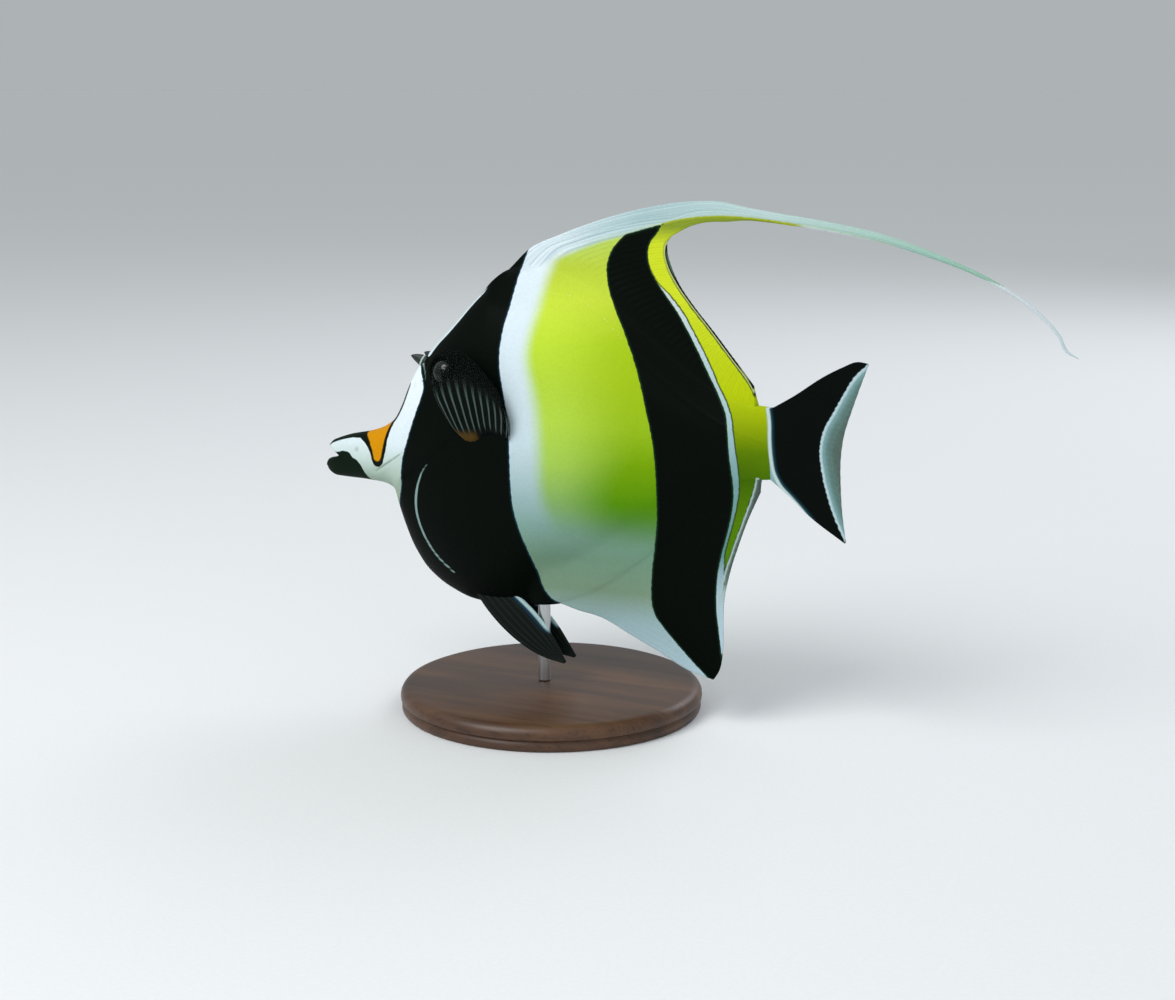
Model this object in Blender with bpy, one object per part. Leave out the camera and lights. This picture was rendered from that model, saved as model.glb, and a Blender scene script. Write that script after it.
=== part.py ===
"""Moorish idol, a still life-size model of the fish on a plain display stand.

The fish is drawn in its own flat frame, in millimetres: x runs from the tip of the snout to the
tail, y to the fish's right and z up from the root of the breast fins. The last step sweeps the
tail to one side and sets the fish over the middle of the stand's base. The snout points to -X.
"""
import math

import bmesh
import bpy
import numpy as np
from mathutils import Matrix, Vector

# Scale of the drawing and the gap that parted pieces keep: between two pieces cut from the body,
# between the body and what stands on it, at the mouth and round the gill covers
MM = 0.001
GAP = 0.3
ROOT_GAP = 0.36
MOUTH_GAP = 0.42
COVER_GAP = 0.45

# Main lengths of the fish
SNOUT_START = -1.5
TAIL_ROOT = 154.2
TAIL_STEM_START = 140.0
SNOUT_END = 23.0
DORSAL_START = 67.5
DORSAL_END = 148.5
ANAL_START = 84.5
ANAL_END = 150.0
FILAMENT_START = 120.0
FILAMENT_JOIN = 180.0

# Profiles of the body along x: upper edge, lower edge, half width and half width of the edges
TOP_EDGE = [(-1.5, -14.4), (-1.0, -11.8), (0.0, -8.3), (0.8, -7.2), (2.4, -6.4), (8.4, -4.4),
            (15.0, -3.0), (19.4, -1.6), (22.8, 0.2), (26.0, 3.0), (29.0, 8.2), (32.0, 15.0),
            (34.2, 19.0), (36.8, 22.6), (40.6, 26.6), (46.0, 32.0), (54.0, 40.6), (62.0, 48.0),
            (68.0, 51.8), (74.0, 53.2), (82.0, 52.4), (92.0, 48.6), (104.0, 41.4), (116.0, 31.8),
            (128.0, 22.9), (138.0, 17.0), (147.0, 14.4), (154.2, 14.2)]
LOW_EDGE = [(-1.5, -14.9), (-1.0, -16.4), (0.0, -17.3), (2.0, -18.1), (7.0, -18.3), (12.0, -18.4),
            (17.0, -18.7), (21.0, -19.1), (23.8, -20.2), (25.7, -22.0), (26.9, -24.8), (27.9, -29.2),
            (29.3, -33.8), (31.8, -39.8), (36.8, -46.4), (44.4, -51.4), (53.0, -54.4), (62.0, -55.2),
            (74.0, -53.8), (84.0, -52.4), (94.0, -48.6), (106.0, -40.8), (118.0, -31.0),
            (130.0, -20.2), (140.0, -11.8), (147.0, -7.8), (154.2, -6.6)]
HALF_WIDTH = [(-1.5, 0.8), (-0.6, 2.0), (0.8, 2.9), (4.0, 3.7), (10.0, 4.4), (18.0, 5.4),
              (24.0, 6.6), (30.0, 8.2), (38.0, 9.9), (48.0, 11.4), (60.0, 12.0), (74.0, 11.8),
              (90.0, 10.6), (106.0, 8.7), (122.0, 6.4), (136.0, 4.6), (147.0, 3.4), (154.2, 2.6)]
HALF_EDGE = [(-1.5, 0.3), (2.0, 0.9), (12.0, 1.3), (24.0, 1.4), (34.0, 1.8), (44.0, 1.8),
             (60.0, 1.2), (120.0, 1.0), (154.2, 1.1)]
UPPER_FULLNESS = [(-1.5, 2.2), (20.0, 2.2), (34.0, 3.0), (50.0, 2.7), (70.0, 2.1), (154.2, 2.1)]
UPPER_ROUNDNESS = [(-1.5, 0.5), (18.0, 0.5), (34.0, 0.58), (60.0, 0.68), (120.0, 0.72), (154.2, 0.6)]
LOWER_ROUNDNESS = [(-1.5, 0.5), (18.0, 0.5), (30.0, 0.8), (60.0, 0.72), (120.0, 0.72), (154.2, 0.6)]
LOWER_FULLNESS = 2.3
LOWEST_HALF_EDGE = 1.2
STATIONS = 52
STEEP_WEIGHT = 0.5
SIDE_POINTS = 13

# Lines on the body where it is parted, drawn from the side
GILL_LINE = [(22.0, -34.0), (25.6, -27.0), (29.5, -18.2), (34.0, -13.2), (42.0, -7.2), (50.0, -1.6),
             (54.0, 4.5), (55.5, 12.0), (56.5, 24.0), (58.0, 46.0), (59.0, 64.0)]
GILL_COVER_FRONT = [(30.6, -14.6), (34.4, -6.0), (39.8, 2.6), (45.4, 9.0), (51.0, 13.0), (58.0, 14.0)]
GILL_COVER_REAR = [(58.0, 0.0), (50.0, -8.0), (42.0, -13.0), (35.0, -18.0), (31.4, -20.6)]
GILL_COVER_DEPTH = 5.0
GILL_POINTS = 26
GILL_FOOT = -34.0
GILL_HEAD = 64.0
MOUTH_CORNER = (4.6, -11.2)
JAW_REAR = (12.4, -19.6)
UPPER_GAPE = [(-5.0, -8.5), (0.4, -8.6), (2.6, -9.9)]
LOWER_GAPE = [(-5.0, -13.6), (-0.6, -13.2), (2.2, -12.0)]
GAPE_MIDDLE = (2.5, -11.1)

# Levels that lie clear of the body on every side, where the blocks that part it can end
CLEAR_FRONT = -5.0
CLEAR_REAR = 160.0
CLEAR_ASIDE = 30.0
CLEAR_ABOVE = 45.0
CLEAR_BELOW = -45.0
TRUNK_TOP = 64.0
TRUNK_FOOT = -70.0
STEM_TOP = 40.0
STEM_FOOT = -30.0

# Lips, as tubes that follow the edges of the mouth
LIP_RADIUS = 0.75
LIP_TAPER = [0.6, 0.8, 0.9, 1.0, 1.0, 1.0, 1.0, 1.0, 1.0, 1.0, 1.0, 1.0, 0.9, 0.8, 0.6]
UPPER_LIP = [(5.3, 3.3, -10.9), (3.4, 3.15, -9.9), (1.6, 2.5, -9.0), (0.5, 1.3, -8.45),
             (0.2, 0.0, -8.3)]
LOWER_LIP = [(5.2, 3.3, -11.9), (2.8, 3.2, -12.2), (0.6, 2.6, -13.0), (-0.6, 1.3, -13.6),
             (-0.9, 0.0, -13.8)]

# Eyes, nostrils and brow horns
EYE_PLACE = (45.8, 19.6)
EYE_RADIUS = 4.2
EYE_DEPTH = 2.9
EYE_SINK = 2.0
NOSTRILS = [(36.4, 14.6), (38.6, 15.6)]
NOSTRIL_RADIUS = 0.55
HORN_ROOT = (38.6, 3.4, 20.6)
HORN_TIP = (33.0, 4.2, 23.4)
HORN_HEIGHT = 3.6
HORN_THICKNESS = 2.4
HORN_TAPER = [1.0, 0.96, 0.86, 0.72, 0.5, 0.16]

# Outer edges of the fins, drawn from the side
DORSAL_FRONT = [(67.5, 52.3), (74.2, 58.2), (83.4, 62.3), (96.8, 67.1), (109.9, 70.7), (120.0, 72.7)]
DORSAL_REAR = [(120.0, 63.5), (118.8, 61.8), (118.6, 58.8), (119.8, 54.6), (122.6, 49.0),
               (127.3, 42.8), (133.4, 36.0), (140.2, 28.2), (147.2, 20.2)]
DORSAL_CUT_COLUMNS = 9
DORSAL_ROWS = 9
DORSAL_HALF = (0.95, 0.35)
ANAL_FRONT = [(84.5, -52.9), (90.0, -54.0), (97.0, -55.4), (107.3, -60.0), (117.5, -64.6),
              (127.6, -69.4), (135.4, -71.2)]
ANAL_REAR = [(135.4, -71.2), (136.9, -68.8), (138.3, -61.6), (138.3, -52.2), (138.5, -46.0),
             (140.4, -36.5), (143.0, -28.3), (146.6, -18.6), (150.0, -11.2)]
ANAL_ROWS = 8
ANAL_HALF = (0.9, 0.35)
FIN_THINNING = 0.7
TAIL_LOWER = [(154.6, -6.4), (160.5, -10.8), (166.9, -15.6), (179.6, -22.5)]
TAIL_UPPER = [(154.6, 14.0), (160.9, 18.1), (171.9, 25.3), (177.3, 28.1), (182.2, 30.1), (185.4, 29.9)]
TAIL_REAR = [(179.6, -22.5), (178.2, -15.0), (177.3, -6.0), (177.1, 2.0), (177.8, 8.0), (180.7, 17.3),
             (182.7, 22.8), (185.4, 29.9)]
TAIL_ROWS = 8
TAIL_HALF = (0.7, 0.32)
TAIL_ROOT_SWELL = 1.1
TAIL_THINNING = 1.6
FILAMENT_UPPER = [(120.0, 72.7), (127.0, 73.5), (134.0, 73.8), (145.3, 72.0), (154.0, 70.8),
                  (167.3, 69.0), (184.8, 65.8), (201.9, 60.4), (218.8, 53.1), (227.9, 47.5),
                  (233.4, 42.8), (236.2, 39.6), (238.1, 35.9), (241.7, 33.5)]
FILAMENT_DEPTHS = [(0.0, 9.2), (2.6, 8.1), (6.2, 6.8), (10.0, 6.1), (16.0, 5.6), (25.5, 3.4), (34.0, 2.9),
                   (60.0, 2.5), (76.0, 2.0), (94.0, 1.1), (110.0, 0.8), (150.0, 0.7)]
FILAMENT_UPRIGHT = 64.0
FILAMENT_HALF_THICKNESS = 0.4
FILAMENT_RINGS = (10, 16)
FILAMENT_SECTION = [(0.0, 0.0), (0.12, -0.8), (0.45, -1.0), (0.88, -0.7), (1.0, 0.0), (0.88, 0.7),
                    (0.45, 1.0), (0.12, 0.8)]

# Breast fins: root on the flank, front edge, outer edge and rear edge of the fan, and how far it
# stands out of the flank at its root, which is hidden inside, and at its outer edge
PECTORAL_ROOT = [(54.4, 0.2), (56.8, -1.5), (59.8, -1.4), (62.5, 0.2), (65.0, 1.3), (68.2, 1.0),
                 (71.6, -0.4)]
PECTORAL_FRONT = [(54.4, 0.2), (51.4, 3.9), (48.9, 7.8), (46.6, 11.9), (45.4, 16.1), (44.9, 21.3)]
PECTORAL_EDGE = [(44.9, 21.3), (46.7, 25.0), (50.4, 27.4), (55.4, 27.2), (60.4, 24.8), (64.7, 21.4),
                 (68.5, 17.4), (71.0, 13.6), (72.5, 10.8)]
PECTORAL_REAR = [(71.6, -0.4), (73.2, 5.0), (72.5, 10.8)]
PECTORAL_LIFT = (-2.2, 4.0)
PECTORAL_FLARE = 0.4
PECTORAL_CUP = 0.8
PECTORAL_HALF = (1.24, 0.34)
PECTORAL_ROWS = 9

# Belly fins: front and rear edges from the belly to the point, and how far apart the pair stands
PELVIC_FRONT = [(53.5, -50.6), (59.5, -58.0), (69.0, -65.8), (78.5, -70.2), (86.2, -71.5)]
PELVIC_REAR = [(68.5, -50.4), (75.5, -55.8), (80.2, -60.6), (83.8, -65.8), (87.0, -70.9)]
PELVIC_SPREAD = (2.6, 3.7)
PELVIC_FLARE = 1.1
PELVIC_HALF = (0.85, 0.35)
PELVIC_ROWS = 9

# Rays: how far they stand out of the membrane, where they start, how they fall off and their number
RAY_HEIGHT = 0.5
RAY_START = 0.1
RAY_TAPER = 0.4
DORSAL_RAYS = 22
ANAL_RAYS = 18
TAIL_RAYS = 14
PECTORAL_RAYS = 11
PELVIC_RAYS = 5

# Sweep of the tail towards the fish's left, faded out towards the high fin thread
SWEEP_START = 118.5
SWEEP_END = 155.5
SWEEP_ANGLE = math.radians(13.0)
SWEEP_FADE = (45.0, 62.0)

# Display stand
STAND_MIDDLE = 80.0
BASE_TOP = -79.0
BASE_THICKNESS = 8.0
BASE_RADIUS = 48.0
BASE_BEVEL = 1.2
ROD_PLACE = 77.5
ROD_RADIUS = 2.0
ROD_OVERRUN = 4.0

# Angles past which an edge stays sharp: on the body, and on the fins, where the rays have to show
BODY_CREASE = math.radians(40.0)
FIN_CREASE = math.radians(6.0)

fish = None
cutters = None


def clear_scene():
    for item in list(bpy.data.objects):
        bpy.data.objects.remove(item, do_unlink=True)


def collection(name):
    group = bpy.data.collections.new(name)
    bpy.context.scene.collection.children.link(group)
    return group


def linear(value):
    return value / 12.92 if value <= 0.04045 else ((value + 0.055) / 1.055) ** 2.4


def material(name, colour, roughness=0.45, metallic=0.0):
    finish = bpy.data.materials.new(name)
    finish.use_nodes = True
    shader = finish.node_tree.nodes["Principled BSDF"]
    channels = [linear(int(colour[i:i + 2], 16) / 255) for i in (0, 2, 4)]
    shader.inputs["Base Color"].default_value = (*channels, 1.0)
    shader.inputs["Roughness"].default_value = roughness
    shader.inputs["Metallic"].default_value = metallic
    return finish


# Curves through a few points

def hermite(knots, values, slopes, where):
    where = min(max(where, knots[0]), knots[-1])
    i = int(np.clip(np.searchsorted(knots, where, side="right") - 1, 0, len(knots) - 2))
    step = knots[i + 1] - knots[i]
    t = (where - knots[i]) / step
    start = values[i] * (1 + 2 * t) * (1 - t) ** 2 + slopes[i] * step * t * (1 - t) ** 2
    end = values[i + 1] * t * t * (3 - 2 * t) - slopes[i + 1] * step * t * t * (1 - t)
    return start + end


def profile(points):
    """A smooth height over x through the points, with no overshoot between them."""
    knots, values = np.array(points, float).T
    rises = np.diff(values) / np.diff(knots)
    slopes = np.concatenate(([rises[0]], np.zeros(len(knots) - 2), [rises[-1]]))
    for i in range(1, len(knots) - 1):
        before, after = rises[i - 1], rises[i]
        if before * after > 0:
            slopes[i] = 2 * before * after / (before + after)
    return lambda where: float(hermite(knots, values, slopes, where))


def outline(points, count, steps_per_point=40):
    """Points spaced evenly along a smooth curve through the given ones."""
    points = np.array(points, float)
    knots = np.concatenate(([0.0], np.cumsum(np.linalg.norm(np.diff(points, axis=0), axis=1))))
    chords = np.diff(points, axis=0) / np.diff(knots)[:, None]
    slopes = np.empty_like(points)
    slopes[0], slopes[-1] = chords[0], chords[-1]
    for i in range(1, len(points) - 1):
        before, after = knots[i] - knots[i - 1], knots[i + 1] - knots[i]
        slopes[i] = (chords[i - 1] * after + chords[i] * before) / (before + after)
    steps = np.linspace(0, knots[-1], steps_per_point * len(points))
    fine = np.array([hermite(knots, points, slopes, s) for s in steps])
    lengths = np.concatenate(([0.0], np.cumsum(np.linalg.norm(np.diff(fine, axis=0), axis=1))))
    even = np.linspace(0, lengths[-1], count)
    return np.stack([np.interp(even, lengths, column) for column in fine.T], axis=1)


top_edge = profile(TOP_EDGE)
low_edge = profile(LOW_EDGE)
half_width = profile(HALF_WIDTH)
half_edge = profile(HALF_EDGE)
upper_fullness = profile(UPPER_FULLNESS)
upper_roundness = profile(UPPER_ROUNDNESS)
lower_roundness = profile(LOWER_ROUNDNESS)
filament_depth = profile(FILAMENT_DEPTHS)


# Body surface

def flank(x, z):
    """Half width of the body at a place seen from the side."""
    top, low = top_edge(x), low_edge(x)
    middle = (top + low) / 2
    reach = min(abs(z - middle) / ((top - low) / 2), 1.0)
    width, edge = half_width(x), half_edge(x)
    if z > middle:
        return edge + (width - edge) * (1 - reach ** upper_fullness(x)) ** upper_roundness(x)
    edge = min(edge, LOWEST_HALF_EDGE)
    return edge + (width - edge) * (1 - reach ** LOWER_FULLNESS) ** lower_roundness(x)


def flank_normal(x, z, side, step=0.5):
    """Outward direction of the body's surface on one side (-1 left, 1 right)."""
    along = (flank(x + step, z) - flank(x - step, z)) / (2 * step)
    up = (flank(x, z + step) - flank(x, z - step)) / (2 * step)
    return Vector((-along, side, -up)).normalized()


def stations(samples=1200):
    """Places of the body's sections, closer together where its edges are steep."""
    fine = np.linspace(SNOUT_START, TAIL_ROOT, samples)
    tops = np.gradient([top_edge(x) for x in fine], fine)
    lows = np.gradient([low_edge(x) for x in fine], fine)
    density = np.sqrt(1 + STEEP_WEIGHT * (tops ** 2 + lows ** 2))
    travelled = np.concatenate(([0.0], np.cumsum((density[1:] + density[:-1]) / 2)))
    return np.interp(np.linspace(0, travelled[-1], STATIONS), travelled, fine)


def body_section(x):
    """One ring round the body, up the left side and down the right."""
    top, low = top_edge(x), low_edge(x)
    middle, reach = (top + low) / 2, (top - low) / 2
    levels = [middle + reach * math.sin(a) for a in np.linspace(-math.pi / 2, math.pi / 2, SIDE_POINTS)]
    left = [(x, -flank(x, z), z) for z in levels]
    return left + [(px, -py, pz) for px, py, pz in reversed(left)]


# Making meshes

def new_object(name, corners, faces, group=None):
    mesh = bpy.data.meshes.new(name)
    mesh.from_pydata([tuple(c * MM for c in corner) for corner in corners], [], faces)
    mesh.validate()
    turn_outward(mesh)
    item = bpy.data.objects.new(name, mesh)
    (group or cutters).objects.link(item)
    return item


def turn_outward(mesh):
    work = bmesh.new()
    work.from_mesh(mesh)
    bmesh.ops.recalc_face_normals(work, faces=work.faces)
    work.to_mesh(mesh)
    work.free()


def loft(name, rings):
    """A closed skin over rings with the same number of points, split into triangles."""
    size = len(rings[0])
    corners = [corner for ring in rings for corner in ring]
    faces = []
    for i in range(len(rings) - 1):
        for j in range(size):
            a, b = i * size + j, i * size + (j + 1) % size
            faces += [(a, b, b + size), (a, b + size, a + size)]
    faces.append(tuple(range(size)))
    faces.append(tuple(reversed(range(len(corners) - size, len(corners)))))
    return new_object(name, corners, faces)


def prism(name, side_view, inner=-CLEAR_ASIDE, outer=CLEAR_ASIDE):
    """A block with the given outline from the side, between two levels of y."""
    mesh = bpy.data.meshes.new(name)
    work = bmesh.new()
    face = work.faces.new([work.verts.new(Vector((x, inner, z)) * MM) for x, z in side_view])
    grown = bmesh.ops.extrude_face_region(work, geom=[face])["geom"]
    far = [element for element in grown if isinstance(element, bmesh.types.BMVert)]
    bmesh.ops.translate(work, vec=Vector((0, outer - inner, 0)) * MM, verts=far)
    bmesh.ops.recalc_face_normals(work, faces=work.faces)
    work.to_mesh(mesh)
    work.free()
    item = bpy.data.objects.new(name, mesh)
    cutters.objects.link(item)
    return item


def tube(name, places, radius, taper=None):
    """A round tube with closed ends along the places, narrowed by the taper's shares if any."""
    curve = bpy.data.curves.new(name, "CURVE")
    curve.dimensions = "3D"
    curve.bevel_depth = radius * MM
    curve.bevel_resolution = 2
    curve.use_fill_caps = True
    spline = curve.splines.new("POLY")
    spline.points.add(len(places) - 1)
    for point, place, share in zip(spline.points, places, taper or [1.0] * len(places)):
        point.co = (*(Vector(place) * MM), 1.0)
        point.radius = share
    source = bpy.data.objects.new(name, curve)
    cutters.objects.link(source)
    mesh = bpy.data.meshes.new_from_object(source.evaluated_get(bpy.context.evaluated_depsgraph_get()))
    bpy.data.objects.remove(source, do_unlink=True)
    weld(mesh)
    item = bpy.data.objects.new(name, mesh)
    cutters.objects.link(item)
    return item


def weld(mesh, reach=0.001):
    """Joins corners that lie within the reach, in millimetres, of one another."""
    work = bmesh.new()
    work.from_mesh(mesh)
    bmesh.ops.remove_doubles(work, verts=work.verts, dist=reach * MM)
    bmesh.ops.recalc_face_normals(work, faces=work.faces)
    work.to_mesh(mesh)
    work.free()


def ball(name, middle, radii, normal):
    """An ellipsoid with its third radius along the given direction."""
    mesh = bpy.data.meshes.new(name)
    work = bmesh.new()
    bmesh.ops.create_uvsphere(work, u_segments=16, v_segments=8, radius=1.0)
    size = Matrix.Diagonal((*[r * MM for r in radii], 1.0))
    turn = normal.to_track_quat("Z", "Y").to_matrix().to_4x4()
    place = Matrix.Translation(Vector(middle) * MM)
    bmesh.ops.transform(work, matrix=place @ turn @ size, verts=work.verts)
    work.to_mesh(mesh)
    work.free()
    item = bpy.data.objects.new(name, mesh)
    cutters.objects.link(item)
    return item


def copy_of(item, name):
    twin = bpy.data.objects.new(name, item.data.copy())
    cutters.objects.link(twin)
    return twin


def swollen(item, name, distance):
    """A copy whose surface stands further out all over."""
    twin = copy_of(item, name)
    normals = [vertex.normal.copy() for vertex in twin.data.vertices]
    for vertex, normal in zip(twin.data.vertices, normals):
        vertex.co += normal * distance * MM
    return twin


def combine(item, tool, operation):
    """Joins, cuts or keeps what two closed shapes share, and uses the tool up."""
    boolean = item.modifiers.new(operation, "BOOLEAN")
    boolean.operation = operation
    boolean.solver = "EXACT"
    boolean.object = tool
    mesh = bpy.data.meshes.new_from_object(item.evaluated_get(bpy.context.evaluated_depsgraph_get()))
    item.modifiers.clear()
    item.data = mesh
    bpy.data.objects.remove(tool, do_unlink=True)
    keep_largest(item)
    return item


def keep_largest(item):
    """Drops every closed surface of a shape but the largest."""
    work = bmesh.new()
    work.from_mesh(item.data)
    left = set(work.verts)
    islands = []
    while left:
        stack = [left.pop()]
        island = set(stack)
        while stack:
            for edge in stack.pop().link_edges:
                for vertex in edge.verts:
                    if vertex in left:
                        left.discard(vertex)
                        island.add(vertex)
                        stack.append(vertex)
        islands.append(island)
    largest = max(islands, key=len)
    bmesh.ops.delete(work, geom=[v for v in work.verts if v not in largest], context="VERTS")
    work.to_mesh(item.data)
    work.free()


def sweep(x, y, z):
    """The tail's turn to the left: the angle grows with the square of the distance."""
    fade = min(max((SWEEP_FADE[1] - z) / (SWEEP_FADE[1] - SWEEP_FADE[0]), 0.0), 1.0)
    full = SWEEP_ANGLE * fade * fade * (3 - 2 * fade)
    if x <= SWEEP_START or full == 0.0:
        return x, y, z
    span = SWEEP_END - SWEEP_START
    bent = min(x - SWEEP_START, span)
    angle = full * (bent / span) ** 2
    straight = x - SWEEP_START - bent
    forward = SWEEP_START + bent - full ** 2 * bent ** 5 / (10 * span ** 4) + straight * math.cos(angle)
    aside = full * bent ** 3 / (3 * span ** 2) + straight * math.sin(angle)
    return forward + y * math.sin(angle), y * math.cos(angle) - aside, z


def finish(item, name, finish_material, swept=True, crease=BODY_CREASE):
    """Puts a finished piece in its place over the base and names it."""
    floor = BASE_TOP - BASE_THICKNESS
    for vertex in item.data.vertices:
        x, y, z = (c / MM for c in vertex.co)
        if swept:
            x, y, z = sweep(x, y, z)
        vertex.co = Vector((x - STAND_MIDDLE, y, z - floor)) * MM
    item.data.name = name
    item.name = name
    item.data.materials.clear()
    item.data.materials.append(finish_material)
    item.data.shade_smooth()
    item.data.set_sharp_from_angle(angle=crease)
    cutters.objects.unlink(item)
    fish.objects.link(item)


# Thin fins

def thinning(halves, fall):
    """Half thickness of a fin from its root to its outer edge, by a share that falls from 1 to 0."""
    root, edge = halves
    return lambda u, v: edge + (root - edge) * fall(v)


def on_midline(u, v, x, z):
    return 0.0


def patch(base, edge, front, rear):
    """A sheet of points that fills four edges: rows run from the root to the outer edge."""
    columns, rows = len(base), len(front)
    u = np.linspace(0, 1, columns)[:, None, None]
    v = np.linspace(0, 1, rows)[None, :, None]
    between = (1 - v) * base[:, None] + v * edge[:, None]
    across = (1 - u) * front[None] + u * rear[None]
    corners = (1 - u) * ((1 - v) * base[0] + v * edge[0]) + u * ((1 - v) * base[-1] + v * edge[-1])
    return between + across - corners


def blade(name, sheet, side_place, half_thickness):
    """A fin from its sheet of (x, z) points; every second column is the crest of a ray."""
    columns, rows = sheet.shape[:2]
    corners = []
    for side in (-1, 1):
        for i in range(columns):
            for j in range(rows):
                u, v = i / (columns - 1), j / (rows - 1)
                rise = min(max((v - RAY_START) / RAY_START, 0.0), 1.0)
                crest = RAY_HEIGHT * (i % 2) * rise * (1.0 - RAY_TAPER * v)
                x, z = sheet[i, j]
                y = side_place(u, v, x, z) + side * (half_thickness(u, v) + crest)
                corners.append((x, y, z))
    return new_object(name, corners, blade_faces(columns, rows))


def blade_faces(columns, rows):
    """The same triangles on both faces of a sheet, and strips round its edges."""
    far = columns * rows
    faces = []
    for i in range(columns - 1):
        for j in range(rows - 1):
            a, b = i * rows + j, (i + 1) * rows + j
            near = [(a, b, b + 1), (a, b + 1, a + 1)]
            faces += near + [tuple(k + far for k in reversed(face)) for face in near]
    rim = [i * rows for i in range(columns)]
    rim += [(columns - 1) * rows + j for j in range(1, rows)]
    rim += [i * rows + rows - 1 for i in range(columns - 2, -1, -1)]
    rim += [j for j in range(rows - 2, 0, -1)]
    for a, b in zip(rim, rim[1:] + rim[:1]):
        faces += [(a, a + far, b + far), (a, b + far, b)]
    return faces


def body_line(edge, start, end, count, away):
    """Points along the body's upper or lower edge, moved away from it."""
    fine = outline([(x, edge(x)) for x in np.linspace(start, end, 40)], count)
    along = np.gradient(fine, axis=0)
    along /= np.linalg.norm(along, axis=1)[:, None]
    return fine + away * np.stack([-along[:, 1], along[:, 0]], axis=1)


def dorsal_fin():
    columns = 2 * DORSAL_RAYS + 1
    base = body_line(top_edge, DORSAL_START, DORSAL_END, columns, GAP)
    front = outline([base[0], *DORSAL_FRONT[1:]], DORSAL_ROWS)
    cut = np.linspace(DORSAL_FRONT[-1], DORSAL_REAR[0], DORSAL_CUT_COLUMNS + 1)
    edge = np.concatenate((cut[:-1], outline(DORSAL_REAR, columns - DORSAL_CUT_COLUMNS)))
    rear = np.linspace(base[-1], edge[-1], DORSAL_ROWS)
    sheet = patch(base, edge, front, rear)
    return blade("dorsal", sheet, on_midline, thinning(DORSAL_HALF, lambda v: 1 - v ** FIN_THINNING))


def anal_fin():
    columns = 2 * ANAL_RAYS + 1
    base = body_line(low_edge, ANAL_START, ANAL_END, columns, -GAP)
    front = outline([base[0], *ANAL_FRONT[1:]], ANAL_ROWS)
    edge = outline(ANAL_REAR, columns)
    rear = np.linspace(base[-1], edge[-1], ANAL_ROWS)
    sheet = patch(base, edge, front, rear)
    return blade("anal", sheet, on_midline, thinning(ANAL_HALF, lambda v: 1 - v ** FIN_THINNING))


def caudal_fin():
    columns = 2 * TAIL_RAYS + 1
    base = np.linspace(TAIL_LOWER[0], TAIL_UPPER[0], columns)
    lower, upper = outline(TAIL_LOWER, TAIL_ROWS), outline(TAIL_UPPER, TAIL_ROWS)
    sheet = patch(base, outline(TAIL_REAR, columns), lower, upper)

    def half_thickness(u, v):
        root = TAIL_HALF[0] + TAIL_ROOT_SWELL * math.sin(math.pi * u)
        return TAIL_HALF[1] + (root - TAIL_HALF[1]) * (1 - v) ** TAIL_THINNING

    return blade("caudal", sheet, on_midline, half_thickness)


def pectoral_fin(side, flesh):
    columns = 2 * PECTORAL_RAYS + 1
    sheet = patch(outline(PECTORAL_ROOT, columns), outline(PECTORAL_EDGE, columns),
                  outline(PECTORAL_FRONT, PECTORAL_ROWS), outline(PECTORAL_REAR, PECTORAL_ROWS))
    root, edge = PECTORAL_LIFT

    def side_place(u, v, x, z):
        cup = PECTORAL_CUP * math.sin(math.pi * u) * v
        return side * (flank(x, z) + root + (edge - root) * v ** PECTORAL_FLARE + cup)

    fin = blade("pectoral", sheet, side_place, thinning(PECTORAL_HALF, lambda v: (1 - v) ** 4))
    return combine(fin, swollen(flesh, "flank", ROOT_GAP), "DIFFERENCE")


def pelvic_fin(side, flesh):
    front, rear = outline(PELVIC_FRONT, PELVIC_ROWS), outline(PELVIC_REAR, PELVIC_ROWS)
    base, edge = (np.linspace(front[end], rear[end], 2 * PELVIC_RAYS + 1) for end in (0, -1))
    sheet = patch(base, edge, front, rear)
    root, point = PELVIC_SPREAD

    def side_place(u, v, x, z):
        return side * (root + (point - root) * v ** PELVIC_FLARE)

    fin = blade("pelvic", sheet, side_place, thinning(PELVIC_HALF, lambda v: (1 - v) ** 2))
    return combine(fin, swollen(flesh, "belly", ROOT_GAP), "DIFFERENCE")


def filament(start, end, count):
    """A length of the fin thread: four-sided at the fin, thin and rounded towards the tip."""
    line = outline(FILAMENT_UPPER, 200)
    travelled = np.concatenate(([0.0], np.cumsum(np.linalg.norm(np.diff(line, axis=0), axis=1))))
    first, last = (np.interp(x, line[:, 0], travelled) for x in (start, end))
    along = np.gradient(line, travelled, axis=0)

    def at(s, columns):
        return np.array([np.interp(s, travelled, column) for column in columns.T])

    rings = []
    for s in np.linspace(first, last, count):
        forward, up = at(s, along)
        turned = min(max((s - FILAMENT_UPRIGHT) / FILAMENT_UPRIGHT, 0.0), 1.0)
        down = Vector((turned * up, -turned * forward - (1 - turned))).normalized()
        depth = filament_depth(s)
        half = min(FILAMENT_HALF_THICKNESS, depth / 2)
        x, z = at(s, line)
        rings.append([(x + down.x * depth * share, half * aside, z + down.y * depth * share)
                      for share, aside in FILAMENT_SECTION])
    return loft("filament", rings)


# Solid parts of the body

def offset_line(points, distance):
    """A line beside another one, moved to its left by the distance."""
    points = np.array(points, float)
    along = np.gradient(points, axis=0)
    along /= np.linalg.norm(along, axis=1)[:, None]
    return points + distance * np.stack([-along[:, 1], along[:, 0]], axis=1)


def part_of(flesh, side_view):
    """The piece of the body inside an outline drawn from the side."""
    return combine(copy_of(flesh, "piece"), prism("outline", side_view), "INTERSECT")


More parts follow.
